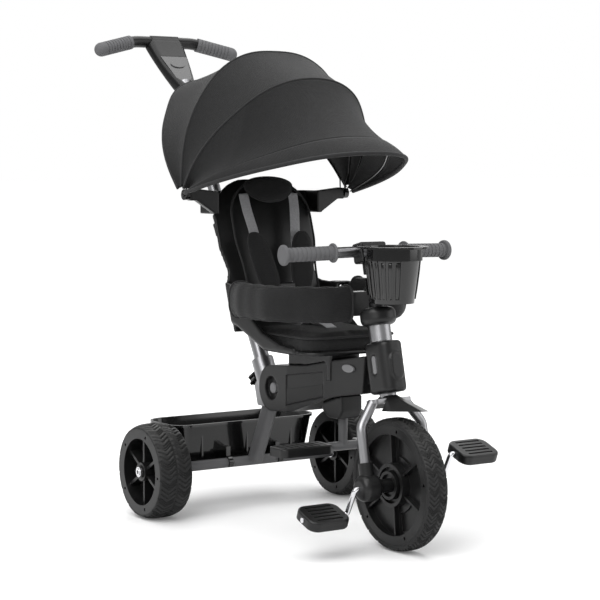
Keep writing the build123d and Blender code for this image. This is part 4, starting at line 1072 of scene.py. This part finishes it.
    def seat(self) -> None:
        """Cushion on the pan with its sewn channels and piped rim."""
        low, high = (np.array(corner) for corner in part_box("seat_pad"))
        top = high[2]
        y0, y1 = low[1] + 12 * MM, high[1] - 30 * MM
        channels = []
        for x in (-0.055, 0.055):
            y = np.linspace(y0 + 30 * MM, y1, 40)
            channels.append(np.c_[np.full(40, x) + 0.012 * np.sin((y - y0) * 12), y, np.full(40, top)])
        x = np.linspace(-0.055, 0.055, 30)
        channels.append(np.c_[x, np.full(30, y0 + 32 * MM) , np.full(30, top)])
        self.stuffed("seat_pad", "seat_cushion", channels, 7 * MM)
        corners = np.array([
            (low[0] + 4 * MM, y1), (low[0] + 4 * MM, low[1] + 1 * MM),
            (high[0] - 4 * MM, low[1] + 1 * MM), (high[0] - 4 * MM, y1)])
        rim = evenly(filleted(corners, [34 * MM, 34 * MM], 3 * MM), 120)
        self.piping("seat_rim_piping", np.c_[rim, np.full(120, top - 4 * MM)], "frame", 2.2 * MM)

    def head(self, place: Matrix) -> None:
        """Head pad: a half disc with a full lower edge."""
        angle = np.linspace(0, 2 * np.pi, 72, endpoint=False)
        across = 57 * MM * np.cos(angle)
        up = np.where(np.sin(angle) < 0, 34 * MM, 18 * MM) * np.sin(angle) + 319 * MM
        outline = np.c_[across, up]
        forward = Matrix.Translation((0, self.pad_face - 7 * MM, 0))
        piece = pillow("head_cushion", outline, 9 * MM, 5 * MM, place @ forward)
        finished(piece, 1)
        dress(piece, Paint.PAD)
        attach(piece, "frame")
        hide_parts("headrest")
        report(piece, "head pad")
        local = np.c_[outline[:, 0], np.full(72, self.pad_face - 7 * MM), outline[:, 1], np.ones(72)]
        self.piping("head_piping", (local @ np.array(place).T)[:, :3], "frame", 2.2 * MM, True)

    def shoulders(self, back: bpy.types.Object, place: Matrix) -> None:
        """Shoulder straps and the padded sleeves over them, and the lap and crotch straps."""
        off = np.array(place.to_3x3() @ Vector((0, -1, 0)))
        for side, label in ((1, "left"), (-1, "right")):
            run = np.array([(60, 304), (58, 270), (52, 235), (47, 200), (40, 140), (30, 100)]) * MM
            run[:, 0] *= side
            line = softened(evenly(run, 50), 6)
            strap = self.strap(
                "shoulder_strap_" + label, self.cast(back, line, 2.2 * MM), 23 * MM, off, Paint.WEBBING)
            if side > 0:
                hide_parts("harness_straps")
            angle = np.linspace(0, 2 * np.pi, 60, endpoint=False)
            wide = 25 * MM * np.sign(np.cos(angle)) * np.abs(np.cos(angle)) ** 0.75
            tall = 66 * MM * np.sign(np.sin(angle)) * np.abs(np.sin(angle)) ** 0.8
            tilt = radians(10)
            across = side * 46 * MM + wide + side * tall * sin(tilt)
            outline = np.c_[across, 152 * MM + tall * cos(tilt)]
            forward = Matrix.Translation((0, self.pad_face - 14 * MM, 0))
            pad = pillow("shoulder_pad_" + label, outline, 7 * MM, 5 * MM, place @ forward)
            finished(pad, 1)
            dress(pad, Paint.PAD)
            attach(pad, "frame")
            if side > 0:
                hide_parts("shoulder_pads")
            local = np.c_[outline[:, 0], np.full(60, self.pad_face - 14 * MM), outline[:, 1], np.ones(60)]
            self.piping("shoulder_piping_" + label, (local @ np.array(place).T)[:, :3], "frame", 1.9 * MM, True)
            lap = np.array([(22, 86), (40, 84), (62, 74), (84, 62)]) * MM
            lap[:, 0] *= side
            self.strap(
                "lap_strap_" + label, self.cast(back, evenly(lap, 24), 6 * MM), 20 * MM, off, Paint.PAD)
        low, high = (np.array(corner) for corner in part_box("seat_pad"))
        y = np.linspace(low[1] + 82 * MM, low[1] + 178 * MM, 30)
        z = high[2] + 7 * MM + 10 * MM * np.sin(np.linspace(0, np.pi, 30))
        self.strap(
            "crotch_strap", np.c_[np.zeros(30), y, z], 24 * MM, np.array([0.0, 0.0, 1.0]), Paint.WEBBING)

    def sleeves(self) -> None:
        """Padded sleeves of the safety ring.

        The section is a super-ellipse of power three and a half, swept along the ring's
        line. It shrinks by a quarter circle at both ends and breathes by a millimetre
        along its length, so that it looks filled.
        """
        z = 455 * MM
        corners = np.array([(138, -172), (150, -225), (144, -312), (80, -388), (20, -388)]) * MM
        corners[:, 1] += AXLE_Y
        for side, label in ((1, "left"), (-1, "right")):
            plan = evenly(filleted(corners * [side, 1], [28 * MM] * 3, 3 * MM), 110)
            along = np.gradient(plan, axis=0)
            along /= np.linalg.norm(along, axis=1)[:, None]
            normal = np.c_[along[:, 1], -along[:, 0]]
            length = np.r_[0, np.cumsum(np.linalg.norm(np.diff(plan, axis=0), axis=1))]
            ends = np.minimum(length, length[-1] - length)
            close = np.sqrt(1 - (1 - np.clip(ends / (9 * MM), 0, 1)) ** 2) * 0.45 + 0.55
            breath = 1 + 0.02 * np.sin(length * 160) * np.clip(ends / (30 * MM), 0, 1)
            angle = np.linspace(0, 2 * np.pi, 40, endpoint=False)
            flat = np.sign(np.cos(angle)) * np.abs(np.cos(angle)) ** (2 / 2.7) * 22.5 * MM
            tall = np.sign(np.sin(angle)) * np.abs(np.sin(angle)) ** (2 / 2.7) * 34.5 * MM
            size = (close * breath)[:, None]
            across = plan[:, None] + normal[:, None] * (size * flat[None, :])[..., None]
            points = np.concatenate([across, (z + size * tall[None, :])[..., None]], axis=2)
            count, sides = points.shape[:2]
            caps = np.array([[*(plan[0] - along[0] * 3 * MM), z], [*(plan[-1] + along[-1] * 3 * MM), z]])
            faces = grid_faces(count, sides, False, True).tolist()
            faces += [[k, (k + 1) % sides, count * sides] for k in range(sides)]
            last = (count - 1) * sides
            faces += [[last + k, last + (k + 1) % sides, count * sides + 1] for k in range(sides)]
            piece = mesh_of("ring_sleeve_" + label, np.vstack([points.reshape(-1, 3), caps]), faces)
            outwards(piece)
            finished(piece, 1)
            dress(piece, Paint.PAD)
            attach(piece, "ring_" + label)
            report(piece, "padded sleeve")
            for name, k in (("front", 4), ("back", 106)):
                ring = np.c_[
                    plan[k] + normal[k] * (flat[:, None] * close[k] * 1.03),
                    z + tall * close[k] * 1.03]
                self.piping(f"sleeve_piping_{name}_{label}", ring, "ring_" + label, 2.2 * MM, True)
            for name, k in (("upper", 7), ("lower", 33)):
                run = points[5:-5, k]
                self.piping(f"sleeve_seam_{name}_{label}", run, "ring_" + label, 1.4 * MM)


# ------------------------------------------------------------------ carried-over nodes
NODE_PAINT: dict[Paint, tuple[str, ...]] = {
    Paint.CHARCOAL: (
        "fork_ends", "stem_cover", "bar_clamp", "steering_head", "pole_collar",
        "footrest_block", "foot_plate_left", "foot_plate_right", "seat_shell", "ring_arm_left", "ring_arm_right",
        "canopy_brackets", "mudguard", "pedal_left", "pedal_right", "buckle"),
    Paint.BODY_CHARCOAL: ("body_shell_left", "body_shell_right"),
    Paint.GLOSS_BLACK: (
        "storage_bin", "cup_holder", "height_button", "clamp_knob",
        "canopy_bow_rear", "canopy_bow_mid", "canopy_bow_front"),
    Paint.WHEEL_BLACK: ("rear_rim_left", "rear_rim_right", "front_rim", "steering_bushes"),
    Paint.FRAME_SILVER: ("fork", "column_cover", "pole_lower", "pole_upper", "handlebar", "frame_spine"),
    Paint.FRAME_GREY: ("rear_frame", "footrest_bar"),
    Paint.PLATE: ("rear_axle", "axle_rings", "crank"),
    Paint.HANDLE_GREY: ("handle_neck", "handle_bow"),
    Paint.GRIP_RUBBER: ("grips", "handle_grips"),
    Paint.LIGHT_GREY: ("side_insets", "hip_button_left", "hip_button_right"),
    Paint.BADGE: ("handle_badge",),
}


def dress_nodes() -> None:
    """Gives every carried-over CAD node its finish."""
    for paint, names in NODE_PAINT.items():
        for name in names:
            dress(frame["nodes"][name], paint)
            LOG.info("%s dressed in %s", name, paint.value.name)


@dataclass
class CupFlutes:
    """Glossy flutes round the cup's wall, between its floor and its collar."""

    middle_y: float = -500 * MM
    floor: float = 463 * MM
    low_radius: float = 40.2 * MM
    slope: float = 13.5 / 106
    count: int = 22
    blank: tuple[float, float] = (290.0, 34.0)
    grid: tuple[int, int] = (9, 25)

    def build(self) -> None:
        """Makes the flutes as one mesh.

        On each flute a point at share a across and share b up stands three millimetres
        times the root of one minus a squared off the wall, less near both ends, where it
        falls with the sixth power of b.
        """
        wide, tall = self.grid
        shares = np.sin(np.linspace(-np.pi / 2, np.pi / 2, wide))
        heights = np.linspace(-1, 1, tall)
        a, b = np.meshgrid(shares, heights, indexing="ij")
        rise = 3.0 * MM * np.sqrt(np.clip(1 - a ** 2, 0, 1)) * (1 - b ** 6) - 0.4 * MM
        height = 43 * MM + b * 35 * MM
        points, faces = [], []
        for k in range(self.count):
            turn = 360 / self.count * k
            if abs((turn - self.blank[0] + 180) % 360 - 180) < self.blank[1]:
                continue
            angle = radians(turn) + a * 3.6 * MM / self.low_radius
            radius = self.low_radius + height * self.slope + rise
            front = np.stack([
                radius * np.cos(angle), self.middle_y + AXLE_Y + radius * np.sin(angle), self.floor + height],
                -1).reshape(-1, 3)
            faces.append(grid_faces(wide, tall, False, False) + len(points) * wide * tall)
            points.append(front)
        piece = mesh_of("cup_flutes", np.vstack(points), np.vstack(faces))
        wall = piece.modifiers.new("wall", "SOLIDIFY")
        wall.thickness = 0.8 * MM
        wall.offset = -1.0
        middle = Vector((0, self.middle_y + AXLE_Y, 0.5))
        face = piece.data.polygons[100]
        if face.normal.dot(face.center - middle) < 0:
            piece.data.flip_normals()
        dress(piece, Paint.GLOSS_BLACK)
        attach(piece, "steering")
        report(piece, "fluted wall")


@dataclass
class BackRibs:
    """Moulded ribs on the rear face of the seat's back plate."""

    heights: tuple[float, ...] = (120, 175, 230)
    half: float = 78 * MM
    proud: float = 5 * MM
    grid: tuple[int, int] = (41, 9)

    def build(self) -> None:
        """Makes the ribs.

        Each is a long low mound: across the rib the height is proud times the root of one
        minus the eighth power of the share along it and the square of the share across.
        """
        place = lean_matrix((0.0, -124 * MM + AXLE_Y, 362 * MM), 18.0)
        for number, height in enumerate(self.heights):
            long, wide = self.grid
            total = long * wide
            along = np.sin(np.linspace(-np.pi / 2, np.pi / 2, long))
            across = np.sin(np.linspace(-np.pi / 2, np.pi / 2, wide))
            x, z = np.meshgrid(along, across, indexing="ij")
            rise = np.sqrt(np.clip(1 - np.maximum(x ** 8, z ** 2), 0, 1)) * self.proud
            front = np.stack(
                [x * self.half, 7 * MM + rise + 1 * MM, z * 5 * MM + height * MM], -1).reshape(-1, 3)
            back = front.copy()
            back[:, 1] = 7 * MM
            faces = grid_faces(long, wide, False, False)
            rim = np.r_[
                np.arange(wide), np.arange(2 * wide - 1, total, wide),
                np.arange(total - 2, total - wide - 1, -1), np.arange(total - 2 * wide, 0, -wide)]
            wall = np.stack([rim, np.roll(rim, -1), np.roll(rim, -1) + total, rim + total], 1)
            piece = mesh_of(
                f"back_rib_{number}", np.vstack([front, back]), np.vstack([faces, faces + total, wall]))
            piece.data.transform(place)
            outwards(piece)
            dress(piece, Paint.CHARCOAL)
            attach(piece, "frame")
            report(piece, "moulded rib")


@dataclass
class Mouldings:
    """Plastic bodies whose sharp CAD corners are softened as a mould would leave them.

    Each is a merged copy of its node, made of even voxels and smoothed, so that every
    corner gets a radius of about two voxels.
    """

    parts: tuple[tuple[str, str, Paint, str, float, int], ...] = (
        ("footrest_block", "frame", Paint.CHARCOAL, "satin_plastic", 2.4, 10),
        ("seat_shell", "frame", Paint.CHARCOAL, "satin_plastic", 2.8, 6),
        ("canopy_brackets", "frame", Paint.CHARCOAL, "satin_plastic", 1.8, 3),
        ("steering_head", "frame", Paint.CHARCOAL, "satin_plastic", 1.8, 6),
        ("pole_collar", "frame", Paint.CHARCOAL, "satin_plastic", 1.8, 4),
        ("handle_neck", "push_handle", Paint.HANDLE_GREY, "handle_paint", 2.0, 8),
    )

    def build(self) -> None:
        """Makes every softened moulding."""
        for node, body, paint, slot, voxel, rounds in self.parts:
            piece = copy_of(node, node + "_moulding")
            remeshed(piece, voxel * MM, rounds)
            smooth_shaded(piece)
            dress(piece, paint)
            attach(piece, body)
            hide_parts(node)
            report(piece, "softened moulding")


# ------------------------------------------------------------------ studio
@dataclass
class Studio:
    """Floor, lights and camera."""

    camera_at: tuple[float, float, float] = (-1.94703, -3.18545, 0.72472)
    azimuth: float = -32.953
    elevation: float = 4.421
    lens: float = 106.892

    def build(self) -> None:
        """Makes the floor, lights, world and camera."""
        floor = mesh_of("floor", np.array([(-60, -60, 0), (60, -60, 0), (60, 60, 0), (-60, 60, 0)], float), [[0, 1, 2, 3]])
        pale = bpy.data.materials.new("pale_floor")
        pale.use_nodes = True
        floor_graph = Graph(pale.node_tree)
        matt = floor_graph.node("ShaderNodeBsdfDiffuse", {"Color": (0.9, 0.9, 0.9, 1)})
        # The floor gets painted light: a glow seen only by the camera, 0.08 near the tricycle and growing to 0.63
        # beyond four metres. It lightens the floor's shadows a little near the tricycle and washes the far floor
        # to white.
        far = floor_graph.vector("LENGTH", floor_graph.node("ShaderNodeTexCoord").outputs["Object"], (0, 0, 0))
        painted_glow_share = floor_graph.ramp(far.outputs["Value"], 1.0, 4.0)
        strength = floor_graph.math("ADD", floor_graph.math("MULTIPLY", painted_glow_share, 0.55), 0.08)
        glow = floor_graph.node("ShaderNodeEmission", {"Color": (1, 1, 1, 1), "Strength": strength})
        seen_only = floor_graph.node("ShaderNodeLightPath").outputs["Is Camera Ray"]
        none = floor_graph.node("ShaderNodeEmission", {"Strength": 0.0})
        lift = floor_graph.node("ShaderNodeMixShader", {0: seen_only, 1: none.outputs[0], 2: glow.outputs[0]})
        whole = floor_graph.node("ShaderNodeAddShader", {0: matt.outputs[0], 1: lift.outputs[0]})
        floor_graph.node("ShaderNodeOutputMaterial", {"Surface": whole.outputs[0]})
        floor.data.materials.append(pale)
        world = bpy.data.worlds.new("studio")
        bpy.context.scene.world = world
        world.use_nodes = True
        graph = Graph(world.node_tree)
        seen = graph.node("ShaderNodeBackground", {"Color": (1, 1, 1, 1), "Strength": 1.0})
        lit = graph.node("ShaderNodeBackground", {"Color": (1, 1, 1, 1), "Strength": 0.42})
        path = graph.node("ShaderNodeLightPath")
        both = graph.node("ShaderNodeMixShader", {
            0: path.outputs["Is Camera Ray"], 1: lit.outputs[0], 2: seen.outputs[0]})
        graph.node("ShaderNodeOutputWorld", {"Surface": both.outputs[0]})
        self.light("key", (-2.4, -1.4, 2.6), 3.0, 95)
        self.light("fill", (2.6, -2.2, 1.6), 2.6, 32)
        self.light("top", (0.2, 0.2, 3.4), 3.6, 85)
        self.light("back", (1.6, 2.6, 2.2), 2.6, 45)
        data = bpy.data.cameras.new("camera")
        data.lens = self.lens
        data.sensor_width = 36.0
        camera = bpy.data.objects.new("camera", data)
        bpy.context.scene.collection.objects.link(camera)
        a, e = radians(self.azimuth), radians(self.elevation)
        back = Vector((sin(a) * cos(e), -cos(a) * cos(e), sin(e)))
        x, y, z = self.camera_at
        camera.location = (x, y + AXLE_Y, z)
        camera.rotation_mode = "QUATERNION"
        camera.rotation_quaternion = (-back).to_track_quat("-Z", "Y")
        bpy.context.scene.camera = camera
        bpy.context.scene.view_settings.view_transform = "Standard"

    def light(self, name: str, where: tuple[float, float, float], size: float, power: float) -> None:
        """Square soft light that faces the middle of the tricycle."""
        data = bpy.data.lights.new(name, "AREA")
        data.size = size
        data.energy = power
        lamp = bpy.data.objects.new(name, data)
        lamp.location = where
        lamp.rotation_mode = "QUATERNION"
        lamp.rotation_quaternion = (Vector((0, 0, 0.45)) - Vector(where)).to_track_quat("-Z", "Y")
        bpy.context.scene.collection.objects.link(lamp)


def main() -> None:
    """Builds the studio, the finishes and every visual piece."""
    for name, made in (
            ("soft_edge", soft_edge_group), ("mould_grain", grain_group), ("plain_weave", weave_group),
            ("settled_dust", dust_group)):
        GROUPS[name] = made()
    Studio().build()
    dress_nodes()
    for tyre in (
            Tyre("rear_tyre_left", "rear_wheel_left", 15, 7 * MM),
            Tyre("rear_tyre_right", "rear_wheel_right", 15, 7 * MM),
            Tyre("front_tyre", "front_wheel", 22, 5 * MM)):
        tyre.build()
    Mouldings().build()
    BackRibs().build()
    CupFlutes().build()
    Canopy().build()
    Cushions().build()


if __name__ == "__main__":
    main()
